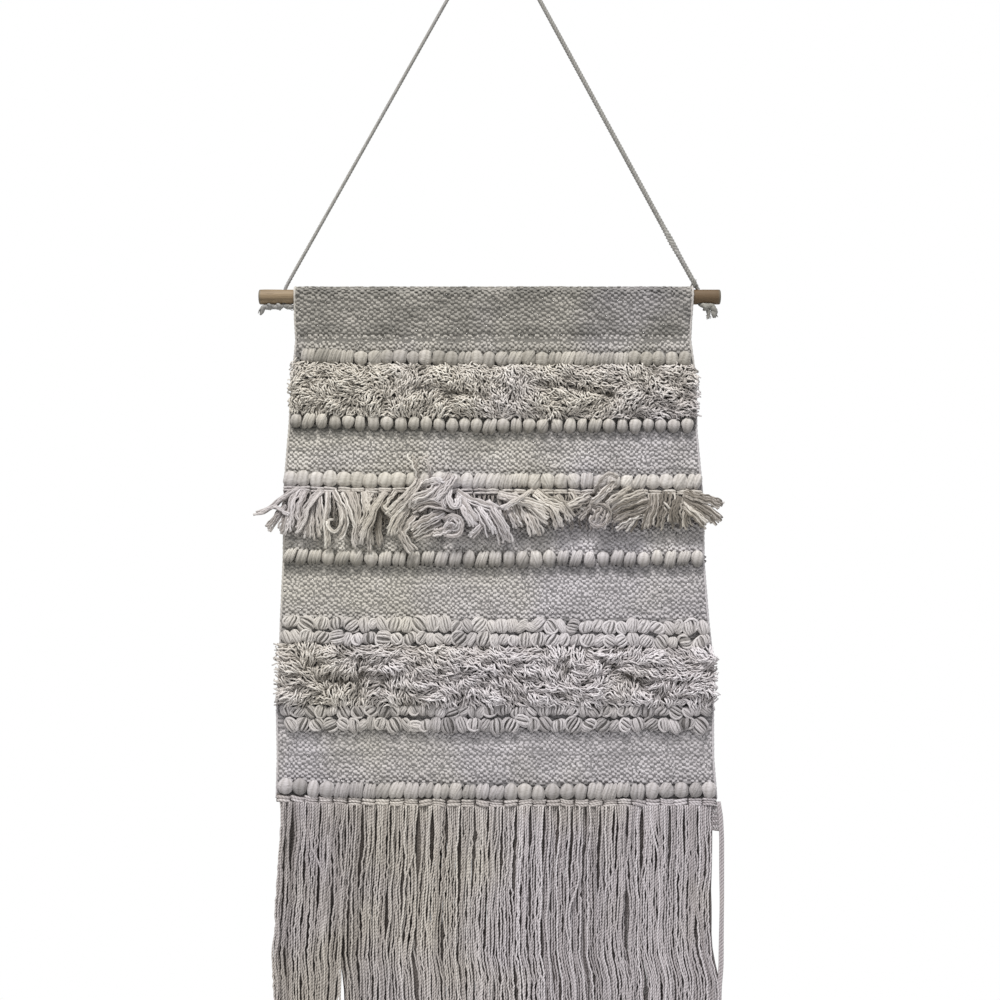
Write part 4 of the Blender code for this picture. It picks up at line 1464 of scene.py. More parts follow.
    def sunk(self, across: Array, down: Array) -> Array:
        """What the clefts leave of the pile's depth. A band counts as 9 wide and 1.4 tall.

        Args:
            across: Shares across.
            down: Shares down.

        Returns:
            From 1 where there is no cleft down to 0.
        """
        spots = np.stack([across * 9, down * 1.4], axis=1)
        left = np.ones(len(across))
        for x0, down0, x1, down1, half, deep in self.clefts:
            first, last = np.array([x0 * 9, down0 * 1.4]), np.array([x1 * 9, down1 * 1.4])
            line = last - first
            share = np.clip((spots - first) @ line / (line @ line), 0, 1)
            away = np.linalg.norm(spots - first - share[:, None] * line, axis=1)
            left *= 1 - deep * np.exp(-((away / half) ** 2))
        return left


@dataclass(frozen=True)
class Lock:
    """A lock of yarn: how many yarns, half its spread at root and tip, how pale, and its middle line.

    The line's points are X, drop and how far out from the cloth, and all lengths are millimetres.
    """

    yarns: int
    root: float
    tip: float
    shade: float
    line: Table


LOCK_ROWS = (
    (4, 2.2, 1.5, 0.5, ((-193.4, 194.2, 4), (-206.3, 202.7, 10), (-219.6, 213.9, 13), (-229.2, 218.9, 14),
     (-238.3, 221.8, 13))),
    (3, 1.2, 1.5, 0.45, ((-223.7, 215.8, 12), (-215.4, 214, 14), (-207.6, 218.9, 13), (-199.9, 223.7, 11))),
    (5, 2, 3, 0.42, ((-206.5, 211.5, 8), (-212.9, 220.7, 11), (-217.6, 228.7, 12), (-224.7, 236.5, 10))),
    (7, 3.5, 5, 0.5, ((-203.8, 214.4, 6), (-205.9, 226.7, 11), (-207.6, 234.7, 12), (-210.8, 240.5, 10))),
    (4, 3, 3, 0.6, ((-193.3, 195.2, 4), (-199.3, 206.7, 10), (-200.8, 221.8, 12), (-202, 239.5, 9))),
    (3, 2, 1.6, 0.62, ((-187.3, 197.2, 4), (-191.2, 208.8, 11), (-193.9, 221.8, 12), (-190.8, 230.7, 12),
     (-195.9, 239.5, 10))),
    (4, 2.4, 1.6, 0.58, ((-171.3, 196.3, 5), (-178.1, 205, 13), (-184.6, 216, 15), (-187.6, 227.9, 14),
     (-196.8, 240.6, 11))),
    (8, 3, 9.5, 0.62, ((-179.1, 206.3, 5), (-179.3, 220.6, 10), (-179.9, 232.7, 12), (-180.1, 247.4, 9))),
    (3, 1.6, 3, 0.6, ((-175.4, 198.2, 4), (-172.3, 209.8, 11), (-170.9, 223.8, 13), (-168, 237.6, 12))),
    (4, 1.8, 2.4, 0.66, ((-165.3, 198.3, 5), (-164.3, 211.8, 12), (-165.8, 226.9, 14), (-164.8, 240.7, 13),
     (-164.2, 255.3, 9))),
    (3, 1.3, 1.3, 0.66, ((-157.2, 203.3, 5), (-151.3, 216.8, 12), (-150.9, 231.9, 15), (-156.7, 238.8, 15),
     (-163.7, 233.9, 15), (-161.8, 225.9, 15), (-155.7, 226, 16))),
    (3, 1.6, 1.4, 0.6, ((-159.4, 197.2, 4), (-151.6, 210.7, 10), (-146.3, 222.8, 12), (-147.2, 236.7, 12),
     (-152.1, 243.6, 12), (-161.3, 251.4, 9))),
    (5, 4, 3, 0.58, ((-149.4, 198.2, 4), (-142.6, 212.8, 11), (-138.3, 225.8, 13), (-133.5, 238.5, 10))),
    (4, 3, 2.2, 0.55, ((-141.4, 198.2, 4), (-135.7, 214.7, 10), (-135.4, 230.7, 12), (-137.3, 244.5, 11),
     (-134.6, 255.3, 8))),
    (5, 3.4, 4, 0.56, ((-128.5, 198.2, 4), (-126.7, 210.8, 11), (-125.4, 222.8, 13), (-132.5, 236.6, 11))),
    (9, 6, 9, 0.36, ((-117.5, 204.2, 4), (-117.9, 221.6, 9), (-119.7, 238.5, 10), (-117.7, 257.3, 8))),
    (3, 1.6, 1.6, 0.58, ((-121.5, 199.2, 4), (-124.6, 210.9, 12), (-120.4, 218.9, 14), (-114.5, 217.9, 14))),
    (5, 2.4, 3.6, 0.6, ((-107.4, 198.3, 5), (-115.5, 211, 14), (-121.2, 225, 16), (-128.2, 239.7, 14),
     (-131.4, 252.4, 10))),
    (4, 2, 2, 0.58, ((-97.5, 198.3, 5), (-104.8, 207.9, 12), (-108.6, 215, 14), (-101.6, 221.9, 14))),
    (7, 3.4, 4.4, 0.56, ((-73.6, 184.3, 5), (-77.9, 194.2, 15), (-88.6, 207.3, 18), (-96.5, 215.2, 17),
     (-104.6, 223.9, 14))),
    (7, 5, 6.5, 0.64, ((-85.1, 209.7, 10), (-91.6, 221.1, 16), (-97.4, 231, 17), (-101.5, 242.7, 14))),
    (4, 3, 5, 0.62, ((-94, 226.6, 10), (-91.6, 238.7, 14), (-86.6, 249.6, 14), (-78.9, 259.4, 11))),
    (2, 0.9, 1.4, 0.62, ((-74.5, 186.5, 7), (-77.3, 176.8, 10), (-80.4, 168.8, 10), (-85.5, 159.6, 8))),
    (1, 0.5, 0.5, 0.62, ((-76.4, 180.6, 8), (-77.4, 171.8, 10), (-74.3, 166.9, 11), (-68.4, 163.9, 11),
     (-62.5, 163.8, 10))),
    (2, 0.8, 1.2, 0.6, ((-62.5, 187.5, 7), (-63.4, 176.9, 11), (-65.3, 170, 12), (-70.3, 165, 12))),
    (4, 2.6, 2, 0.6, ((-72.5, 193.4, 6), (-65.1, 189.1, 14), (-56.2, 187.2, 15), (-47.3, 191, 13))),
    (5, 2.2, 3, 0.58, ((-53.6, 185.4, 6), (-60.1, 197.2, 15), (-70.9, 203.3, 17), (-78.7, 207.3, 17),
     (-80.9, 217, 14))),
    (6, 5, 3.4, 0.6, ((-40.7, 181.4, 6), (-47.3, 192.1, 14), (-55.1, 202.2, 16), (-62.1, 210, 14))),
    (3, 1.6, 2, 0.58, ((-44.7, 184.3, 5), (-46.3, 197, 13), (-50.2, 209.1, 15), (-47.3, 215.9, 13))),
    (4, 1.8, 1.8, 0.62, ((-41.7, 188.3, 5), (-44.3, 201.2, 15), (-42.2, 212.2, 17), (-36.3, 213.2, 17),
     (-34.4, 202.1, 15))),
    (6, 4.2, 4.6, 0.56, ((-37.5, 215.5, 8), (-51.2, 212, 14), (-66, 210.1, 15), (-81.9, 217.9, 13))),
    (7, 5, 5.4, 0.55, ((-49.4, 218.7, 10), (-64.9, 226.9, 15), (-74.8, 232.9, 15), (-83.8, 240.6, 12))),
    (4, 2.2, 2.6, 0.52, ((-75.1, 220.6, 10), (-82.8, 228.8, 14), (-87.7, 237.8, 14), (-91.7, 246.6, 12))),
    (5, 4, 4, 0.42, ((-51.4, 230.5, 8), (-65.2, 237.5, 10), (-73.1, 240.5, 10), (-82, 244.4, 9))),
    (3, 2, 2, 0.62, ((-43.8, 230, 12), (-40, 226, 16), (-35.5, 229.5, 17), (-38, 235, 16), (-43.5, 234, 14))),
    (4, 2.2, 1.6, 0.5, ((-49.3, 227.6, 10), (-41.2, 223, 16), (-32.3, 227.1, 17), (-31.3, 236, 17),
     (-37.2, 242.8, 16), (-47.1, 241.8, 16), (-49, 235, 17), (-43.1, 230.1, 18), (-36.2, 234, 17))),
    (4, 2, 4, 0.64, ((-40.3, 234.7, 12), (-48.1, 237.9, 16), (-54, 239.8, 15), (-60.1, 239.6, 12))),
    (9, 3.4, 6.4, 0.66, ((-35.7, 200.3, 5), (-29.4, 213.1, 16), (-23.4, 223.2, 19), (-15.5, 232.9, 15))),
    (5, 2, 3, 0.56, ((-36.7, 197.3, 5), (-25.5, 206, 13), (-12.6, 211.1, 15), (-0.7, 215, 15),
     (9.2, 220.8, 12))),
    (4, 3, 5.5, 0.68, ((-18.6, 207.7, 10), (-12.6, 219.1, 17), (-5.6, 230.1, 18), (-0.7, 241.7, 14))),
    (4, 3, 5, 0.7, ((-6.7, 207.7, 10), (0.3, 219.1, 17), (7.2, 230.1, 18), (13.1, 240.7, 14))),
    (4, 2, 3.2, 0.7, ((-7.7, 226.6, 10), (-13.6, 233.9, 15), (-18.5, 238.7, 14), (-24.5, 244.5, 11))),
    (7, 4, 7, 0.48, ((1.2, 218.5, 8), (6.2, 231.7, 12), (9.2, 240.6, 12), (12.1, 251.4, 9))),
    (3, 1.1, 1.1, 0.64, ((39.1, 196.3, 5), (27, 205.2, 16), (15.1, 212.3, 18), (6.2, 217, 15))),
    (7, 3.4, 5, 0.58, ((4.2, 201.3, 5), (20.1, 206, 13), (36.9, 211.1, 15), (55.7, 217.8, 12))),
    (6, 4, 5, 0.54, ((18.2, 199.3, 5), (22.1, 210.9, 12), (26, 220.9, 13), (30, 229.6, 10))),
    (6, 4, 5, 0.58, ((41.1, 198.3, 5), (51.8, 206.9, 12), (64.6, 212, 14), (76.5, 217.8, 12))),
    (5, 2.6, 5, 0.62, ((14.2, 211.5, 8), (18.1, 221, 15), (22, 227.9, 15), (25, 234.7, 12))),
    (7, 3, 7, 0.64, ((30.1, 214.5, 8), (35.8, 225.9, 15), (38.8, 232.9, 15), (42.8, 243.5, 11))),
    (6, 3, 4, 0.66, ((29.1, 204.5, 7), (38.8, 215, 15), (47.7, 223, 15), (56.7, 229.7, 12))),
    (6, 3.4, 5, 0.62, ((51, 208.5, 7), (57.6, 217, 15), (61.5, 225.9, 15), (64.6, 236.6, 11))),
    (5, 3, 4.6, 0.66, ((62, 202.3, 5), (67.6, 211, 14), (72.4, 218, 15), (78.5, 227.7, 12))),
    (6, 4, 3, 0.54, ((95.8, 202.4, 6), (85.4, 207.9, 13), (75.5, 213, 14), (65.6, 218.8, 12))),
    (4, 3, 3, 0.5, ((78, 198.2, 4), (81.7, 206.7, 10), (85.5, 213.8, 11), (91.6, 216.6, 9))),
    (4, 2.4, 3, 0.34, ((97.9, 204.3, 5), (93.6, 213.6, 9), (88.5, 220.6, 10), (82.7, 226.5, 8))),
    (7, 3.4, 3, 0.6, ((120.8, 188.4, 6), (111, 197.3, 16), (102.9, 205.4, 18), (95.2, 211.1, 15))),
    (3, 1.4, 1.4, 0.6, ((99.8, 200.5, 7), (104.3, 190.1, 14), (111.2, 182.3, 15), (118.2, 181.2, 14),
     (124.4, 186.9, 11))),
    (4, 2.2, 1.6, 0.52, ((96.5, 219.6, 9), (102, 213.1, 16), (110.8, 215.2, 17), (113.8, 223.1, 17),
     (107.9, 231, 16), (100, 231.9, 16), (96, 226.1, 17), (102.8, 221.2, 18))),
    (3, 1.6, 3.4, 0.6, ((109.5, 209.6, 12), (105, 216.8, 18), (100.4, 223.9, 19), (97.2, 233.4, 15))),
    (2, 0.9, 2.4, 0.56, ((113.6, 212.5, 12), (110.9, 220.4, 18), (108.4, 228.2, 18), (106.3, 235.1, 14))),
    (2, 0.8, 1.8, 0.68, ((98.4, 214.7, 13), (101.1, 219.8, 19), (106.2, 222.9, 19), (109.8, 228.1, 17))),
    (5, 2.4, 4.4, 0.66, ((108.5, 216.6, 9), (105, 225, 15), (104, 229.9, 15), (103.2, 235.7, 12))),
    (3, 1.6, 1.6, 0.6, ((136.8, 193.3, 5), (125.8, 201.2, 16), (116.7, 207.3, 18), (109, 214.1, 15))),
    (7, 5, 4, 0.56, ((150.6, 200.4, 6), (135.9, 206, 14), (122.8, 211.2, 16), (113.1, 218.9, 13))),
    (7, 5, 4.4, 0.56, ((155.4, 210.5, 7), (140.8, 216, 14), (126.8, 221, 15), (116.1, 226.7, 12))),
    (6, 3, 5, 0.64, ((153.2, 218.5, 8), (139.7, 222.9, 14), (128.7, 226.9, 15), (118.1, 232.7, 12))),
    (5, 3, 4, 0.62, ((145.4, 214.5, 7), (138.8, 223.8, 13), (134.7, 229.8, 14), (129, 236.6, 11))),
    (12, 8, 10, 0.34, ((162.8, 200.2, 4), (162.1, 213.6, 9), (157.9, 225.6, 10), (156.1, 237.4, 8))),
    (6, 6, 6, 0.5, ((173.8, 198.2, 4), (172, 208.7, 10), (168.8, 216.7, 11), (165, 226.5, 9))),
    (2, 1.2, 2, 0.72, ((165.5, 206.4, 6), (168.7, 212.8, 12), (171.7, 216.8, 12), (175.8, 219.7, 10))),
    (12, 4.2, 3.6, 0.52, ((189.6, 199.3, 5), (200.5, 203.9, 12), (213.2, 207, 13), (228.3, 212.8, 11))),
    (11, 4.2, 4.8, 0.46, ((189.5, 205.3, 5), (202.6, 212.8, 11), (214.2, 220.8, 12), (223.3, 230.6, 10))),
    (8, 3.4, 5, 0.6, ((186.5, 209.3, 5), (194.2, 217.9, 14), (202.8, 225, 15), (211.2, 234.6, 11))),
    (6, 3.4, 5, 0.54, ((184.6, 203.3, 5), (180.6, 213.8, 12), (178.4, 221.8, 13), (181.7, 230.6, 10))),
    (4, 2.6, 3.6, 0.48, ((193.5, 210.3, 5), (190.4, 220.8, 12), (189.4, 227.7, 12), (192.7, 235.5, 9))),
)


@dataclass
class MiddleFringe:
    """The brushed fringe under the third row: a bar of knots, short yarns behind and brushed locks in front."""

    bar_top: tuple[float, ...] = (0.1931, 0.1943, 0.1961, 0.1973)
    bar_height: float = 0.0056
    knots: int = 31
    under: int = 150
    stations: int = 18
    line_stations: int = 60
    fuller: float = 1.2
    radius: float = 0.00104
    crinkle: float = 0.00048
    most_proud: float = 0.0195
    locks: tuple[Lock, ...] = tuple(Lock(*row) for row in LOCK_ROWS)

    def make(self, form: ClothForm, finish: Material) -> None:
        """Builds the bar, the yarns behind and the brushed locks in front.

        Args:
            form: The cloth.
            finish: The fringe's material.
        """
        work = Work(form, np.random.default_rng(31))
        self.lay_bar(work)
        self.lay_under(work)
        for lock in self.locks:
            self.lay_lock(work, lock)
        add_piece(work.yarns, "brushed_fringe", finish, ("middle_fringe",))

    def lay_bar(self, work: Work) -> None:
        """Adds the knots: two short strands one above the other, for each bead of the row above.

        Args:
            work: What they are laid with.
        """
        form, chance, each = work.form, work.chance, (self.knots, 1)
        across = (np.arange(self.knots) + 0.5) / self.knots + chance.normal(0, 0.0010, self.knots)
        turn = np.linspace(0.06, 0.94, 9) * math.pi
        for level in (0.12, 0.60):
            drop = drop_at(self.bar_top, across) + self.bar_height * level
            drop = drop + chance.normal(0, 0.00025, self.knots)
            x = form.edge_x(drop, across)
            back = form.face(x, drop)
            half = 0.0061 * chance.uniform(0.90, 1.02, each)
            bow = 0.0007 * chance.normal(0.3, 0.6, each)
            xs = x[:, None] - half * np.cos(turn)
            ys = back[:, None] + 0.0004 - 0.0042 * np.sin(turn) ** 0.5
            zs = (ROD_Z - drop)[:, None] + bow * np.sin(turn) + 0.0004 * np.cos(turn) * chance.normal(0, 1, each)
            work.yarns.lay(np.stack([xs, ys, zs], axis=2), 0.00150, tint=chance.uniform(0.45, 0.75, each))

    def lay_under(self, work: Work) -> None:
        """Adds the short yarns that hang behind the locks, darkened as painted shade.

        Args:
            work: What they are laid with.
        """
        count, chance = self.under, work.chance
        across = (np.arange(count) + chance.uniform(0.1, 0.9, count)) / count
        drop = drop_at(self.bar_top, across) + 0.8 * self.bar_height
        x = work.form.edge_x(drop, across)
        root = np.stack([x, work.form.face(x, drop) - 0.0020, ROD_Z - drop], axis=1)
        sideways = chance.normal(0, 0.0035, count)
        out = chance.uniform(0.0020, 0.0050, count)
        down = chance.uniform(0.022, 0.036, count)

        def step(side: float, proud: float, fall: float) -> Array:
            """The root moved by shares of the yarn's reach."""
            return root + np.stack([sideways * side, -out * proud, -down * fall], axis=1)

        paths = bowed(root, step(0.1, 0.8, 0.2), step(0.5, 1.2, 0.6), step(1.0, 0.6, 1.0), self.stations)
        self.crimp(paths, chance)
        # Painted shade: the yarns behind the locks get a dark tint.
        tint = np.clip(0.15 + chance.normal(0, 0.08, (count, 1)), 0, 1)
        work.yarns.lay(paths, self.radius, sides=4, tint=tint)

    def lay_lock(self, work: Work, lock: Lock) -> None:
        """Adds one brushed lock along its middle line.

        Args:
            work: What it is laid with.
            lock: The lock.
        """
        form, chance = work.form, work.chance
        count = round(self.fuller * lock.yarns)
        each = (count, 1)
        x, drop, out = np.array(lock.line).T * 0.001
        out = np.minimum(out * 1.04, self.most_proud)
        last = self.line_stations - 1
        middle = curve_through(np.stack([x, form.face(x, drop) - out, ROD_Z - drop], axis=1), last + 1)
        share = np.linspace(0, 1, self.stations)
        at = share[None, :] * chance.uniform(0.84, 1.0, each) * last
        paths = np.stack([np.interp(at, np.arange(last + 1), column) for column in middle.T], axis=2)
        aside = unit(np.cross(np.gradient(paths, axis=1), TO_THE_FRONT))
        place = np.linspace(-1, 1, count)[:, None] + chance.normal(0, 0.12, each)
        spread = (lock.root + (lock.tip - lock.root) * share**1.4)[None, :] * 0.001
        stray = chance.normal(0, 0.0007, each) * share
        paths = paths + aside * (place * spread + stray)[..., None]
        paths[..., 1] += chance.normal(0, 0.0008, each) * np.sin(math.pi * share) + 0.0010 * np.abs(place)
        self.crimp(paths, chance)
        paths[..., 1] = np.minimum(paths[..., 1], form.face(paths[..., 0], ROD_Z - paths[..., 2]) - 0.0012)
        size = self.radius * chance.uniform(0.88, 1.14, each) * (1 + 0.16 * rise(share, 0.90, 1.0))
        right = float(rise(x.mean(), 0.05, 0.17))
        tint = lock.shade - (0.10 + 0.28 * right) + chance.normal(0.02, 0.21 + 0.08 * right, each)
        tint = np.clip(tint + 0.18 * rise(share, 0.6, 1.0), 0, 1)
        work.yarns.lay(paths, size, facing=aside, tint=tint)

    def crimp(self, paths: Array, chance: Chance) -> None:
        """Gives yarns the small waves that being knotted has left in them.

        Args:
            paths: The yarns, which are changed in place.
            chance: The fringe's random numbers.
        """
        count = len(paths)
        share = np.linspace(0, 1, paths.shape[1])
        for axis in (0, 2):
            wave = share * chance.uniform(14, 26, (count, 1)) + chance.uniform(0, 6, (count, 1))
            size = self.crinkle * chance.uniform(0.5, 1.6, (count, 1))
            paths[..., axis] += size * np.sin(wave) * rise(share, 0, 0.2)


@dataclass
class LongFringe:
    """The long fringe: knots along the foot, two curtains of yarn, a woven tab and a loose selvedge yarn.

    The spread is rows of drop, left X and right X, and the outer yarns' are drop, X and Y. The
    slit is its X and the drops at which it starts and is fully open.
    """

    groups: int = 31
    each: int = 6
    end: float = 0.772
    uneven: float = 0.005
    stations: int = 60
    stations_behind: int = 20
    radius: float = 0.0012
    radius_behind: float = 0.00175
    crinkle: float = 0.00042
    waves: Table = ((0.0009, 38), (0.0005, 80))
    width: float = 0.424
    strays: int = 22
    spread: Table = (
        (0.508, -0.21, 0.2136), (0.53, -0.2104, 0.213), (0.586, -0.2128, 0.2116), (0.632, -0.2143, 0.2112),
        (0.65, -0.216, 0.2124), (0.672, -0.2148, 0.218), (0.772, -0.2134, 0.2186),
    )
    outer: Table = (
        (0.504, 0.2206, -0.003), (0.518, 0.2226, -0.003), (0.54, 0.2232, -0.003), (0.596, 0.2226, -0.0034),
        (0.66, 0.221, -0.0036), (0.68, 0.2192, -0.0036), (0.768, 0.2164, -0.0036),
    )
    slit: Triple = (-0.1475, 0.64, 0.7)
    slit_half: float = 0.0036
    slit_reach: float = 0.01
    head_places: tuple[float, ...] = (0.0, 0.1, 0.2, 0.5, 1.0)
    head_drops: tuple[float, ...] = (0.4995, 0.501, 0.503, 0.5045, 0.503)

    def make(self, form: ClothForm, finish: Material) -> None:
        """Builds the heads, the two curtains and the loose end at the right.

        Args:
            form: The cloth.
            finish: The fringe's material.
        """
        curtains = Work(form, np.random.default_rng(77))
        self.lay_curtain(curtains, behind=True)
        self.lay_curtain(curtains, behind=False)
        self.lay_strays(curtains)
        heads = Work(form, curtains.chance)
        self.lay_heads(heads)
        self.lay_right_end(heads)
        add_piece(curtains.yarns, "long_fringe_yarns", finish, ("long_fringe",))
        add_piece(heads.yarns, "long_fringe_heads", finish)

    def x_at(self, drop: Array, across: Array) -> Array:
        """The X of a share across the fringe."""
        left, right = read_off(self.spread, drop)
        return left + (right - left) * across

    def head_drop(self, across: Array | float) -> Array:
        """The drop of the middle of the heads, which follow the row above them."""
        return np.interp(across, self.head_places, self.head_drops)

    def lay_heads(self, work: Work) -> None:
        """Adds the knots' heads: two or three turns of yarn one above the other, for each group.

        Args:
            work: What they are laid with.
        """
        form, chance = work.form, work.chance
        turn = np.linspace(0.05, 0.95, 11) * math.pi
        along = np.linspace(0.0, 1.0, 60)
        x = form.edge_x(form.bottom, along) * 0.995
        # Two dark cores behind the heads: painted shade in the gaps between the turns.
        for level in (-0.0022, 0.0016):
            z = ROD_Z - self.head_drop(along) - level
            core = np.stack([x, form.middle(x, form.bottom) - 0.0006, z], axis=1)
            work.yarns.lay(core, 0.0025, sides=6, tint=0.12)
        for group in range(self.groups):
            across = (group + 0.5) / self.groups
            levels = (-0.0024, 0.0, 0.0024) if chance.uniform() < 0.6 else (-0.0016, 0.0016)
            thick = 0.00128 if len(levels) == 3 else 0.0017
            x = float(form.edge_x(form.bottom, across)) * 0.995 + chance.normal(0, 0.0003)
            back = float(form.middle(x, form.bottom))
            slope = chance.normal(0, 0.0005)
            for level in levels:
                drop = float(self.head_drop(across)) + level + chance.normal(0, 0.0002)
                half = 0.0063 * chance.uniform(0.90, 1.04)
                xs = x - half * np.cos(turn)
                ys = back - 0.0006 - 0.0044 * np.sin(turn) ** 0.45
                zs = ROD_Z - drop + slope * np.cos(turn) + 0.0004 * np.sin(2 * turn + group)
                size = thick * (0.75 + 0.25 * np.sin(turn))
                work.yarns.lay(np.stack([xs, ys, zs], axis=1), size, sides=7, tint=chance.uniform(0.5, 0.9))

    def lay_curtain(self, work: Work, behind: bool) -> None:
        """Adds one curtain: the yarns of each group leave their knot together and drift apart.

        Args:
            work: What it is laid with.
            behind: Whether it is the curtain behind, which is plainer and given a dark tint as painted shade.
        """
        form, chance = work.form, work.chance
        group = np.repeat(np.arange(self.groups), self.each)
        each = (len(group), 1)
        pitch = self.width / self.groups
        inside = ((np.tile(np.arange(self.each), self.groups) + 0.5) / self.each - 0.5)[:, None] * pitch
        middle = (group[:, None] + 0.5) / self.groups
        end = self.end + self.uneven * chance.uniform(-1, 0.5, len(group))
        start = self.head_drop(middle[:, 0]) + (0.0010 if behind else 0.0026)
        share = np.linspace(0, 1, self.stations_behind if behind else self.stations)
        drop = start[:, None] + (end - start)[:, None] * share
        below = drop - start[:, None]
        free = rise(below, 0.002, 0.030)
        pace = chance.normal(0, 0.0006, each), chance.uniform(25, 80, each), chance.uniform(0, 6, each)
        own = pace[0] * np.sin(drop * pace[1] + pace[2])
        shift = free * (own + self.crinkle * chance.normal(0, 1, drop.shape))
        narrow = 1.0
        if behind:
            shift = 0.25 * shift + 0.5 * pitch / self.each
        else:
            for reach, quickness in self.waves:
                size = chance.normal(0, reach, self.groups)
                pace = quickness * chance.uniform(0.7, 1.4, self.groups)
                turn = chance.uniform(0, 6, self.groups)
                wave = np.sin(drop * pace[group, None] + turn[group, None])
                shift = shift + free * (size[group, None] * wave)
            neck = rise(below, 0.001, 0.008) * (1 - rise(below, 0.030, 0.090))
            swell = np.sin(drop * pace[group[::-1], None] * 0.6 + turn[group[::-1], None])
            narrow = 1 - 0.13 * neck - 0.03 * free + 0.09 * free * swell
        x = self.part_at_slit(self.x_at(drop, middle) + inside * narrow + shift, drop)
        left, right = read_off(self.spread, drop)
        x = np.clip(x, left - 0.0010, right + 0.0010)
        layer = 0.0006 if behind else -0.0043 + chance.normal(0, 0.0007, self.groups)[group]
        y = form.middle(x[:, :1], form.bottom) + np.reshape(layer, (-1, 1))
        y = y + chance.normal(0, 0.0004 if behind else 0.0010, each)
        y = y + 0.0006 * free * np.sin(drop * chance.uniform(30, 90, each))
        radius = self.radius_behind if behind else self.radius
        size = radius * chance.uniform(0.90, 1.12, each) * chance.uniform(0.90, 1.10, drop.shape)
        # Painted shade: the curtain behind gets a dark tint.
        tint = 0.08 if behind else 0.56 + 0.11 * rise(middle, 0.15, 0.45) + 0.06 * hump(middle, 0.5, 0.2)
        tint = np.clip(tint + chance.normal(0, 0.05 if behind else 0.14, each), 0, 1)
        work.yarns.lay(np.stack([x, y, ROD_Z - drop], axis=2), size, size * 0.92, sides=4, tint=tint)

    def part_at_slit(self, x: Array, drop: Array) -> Array:
        """Moves each yarn to its own side of the slit.

        Args:
            x: The X of yarns x stations.
            drop: The drops there.

        Returns:
            The new X.
        """
        slit_x, start, end = self.slit
        way = np.where(x.mean(axis=1, keepdims=True) < slit_x, -1.0, 1.0)
        return x + rise(drop, start, end) * self.slit_half * way * hump(x, slit_x, self.slit_reach)

    def lay_strays(self, work: Work) -> None:
        """Adds the yarns in front that cross from one group to the next.

        Args:
            work: What they are laid with.
        """
        count, chance = self.strays, work.chance
        each = (count, 1)
        across = (np.arange(count) + chance.uniform(0.1, 0.9, count)) / count
        start = self.head_drop(across) + 0.0030
        end = self.end + self.uneven * chance.uniform(-1, 0.5, count)
        share = np.linspace(0, 1, self.stations)
        drop = start[:, None] + (end - start)[:, None] * share
        leave = chance.uniform(0.01, 0.13, each)
        cross = chance.normal(0, 0.0065, each) * rise(drop - start[:, None] - leave, 0.0, 0.040)
        wave = 0.0010 * np.sin(drop * chance.uniform(60, 140, each) + chance.uniform(0, 6, each))
        left, right = read_off(self.spread, drop)
        x = np.clip(self.x_at(drop, across[:, None]) + cross + wave * rise(share, 0, 0.1), left, right)
        y = work.form.middle(x[:, :1], work.form.bottom) - 0.0064 + 0 * x
        tint = np.clip(0.64 + chance.normal(0, 0.10, each), 0, 1)
        work.yarns.lay(np.stack([x, y, ROD_Z - drop], axis=2), self.radius, sides=4, tint=tint)

    def lay_right_end(self, work: Work) -> None:
        """Adds the short woven tab and the two yarns, side by side, that hang outside it.

        Args:
            work: What they are laid with.
        """
        share = np.linspace(0, 1, 7)
        for number, drop in enumerate(np.arange(0.5090, 0.5300, 0.0026)):
            y = -0.0026 + 0.0006 * np.cos(math.pi * (np.arange(7) + number))
            z = np.full(7, ROD_Z - drop) + 0.0004 * np.sin(share * 3 + number)
            pick = np.stack([0.2128 + 0.0080 * share, y, z], axis=1)
            work.yarns.lay(pick, 0.00145, 0.0011, tint=0.35 + 0.25 * (number % 2))
        for number in range(2):
            drop = np.linspace(0.5030, 0.7660 - 0.003 * number, 60)
            x, y = read_off(self.outer, drop)
            aside = (number - 0.5) * (0.0020 + 0.0003 * np.sin(drop * 60))
            points = np.stack([x + aside, y + 0.0004 * np.sin(drop * 80 + number), ROD_Z - drop], axis=1)
            work.yarns.lay(points, 0.00138, sides=6, tint=0.5 + 0.06 * work.chance.normal())


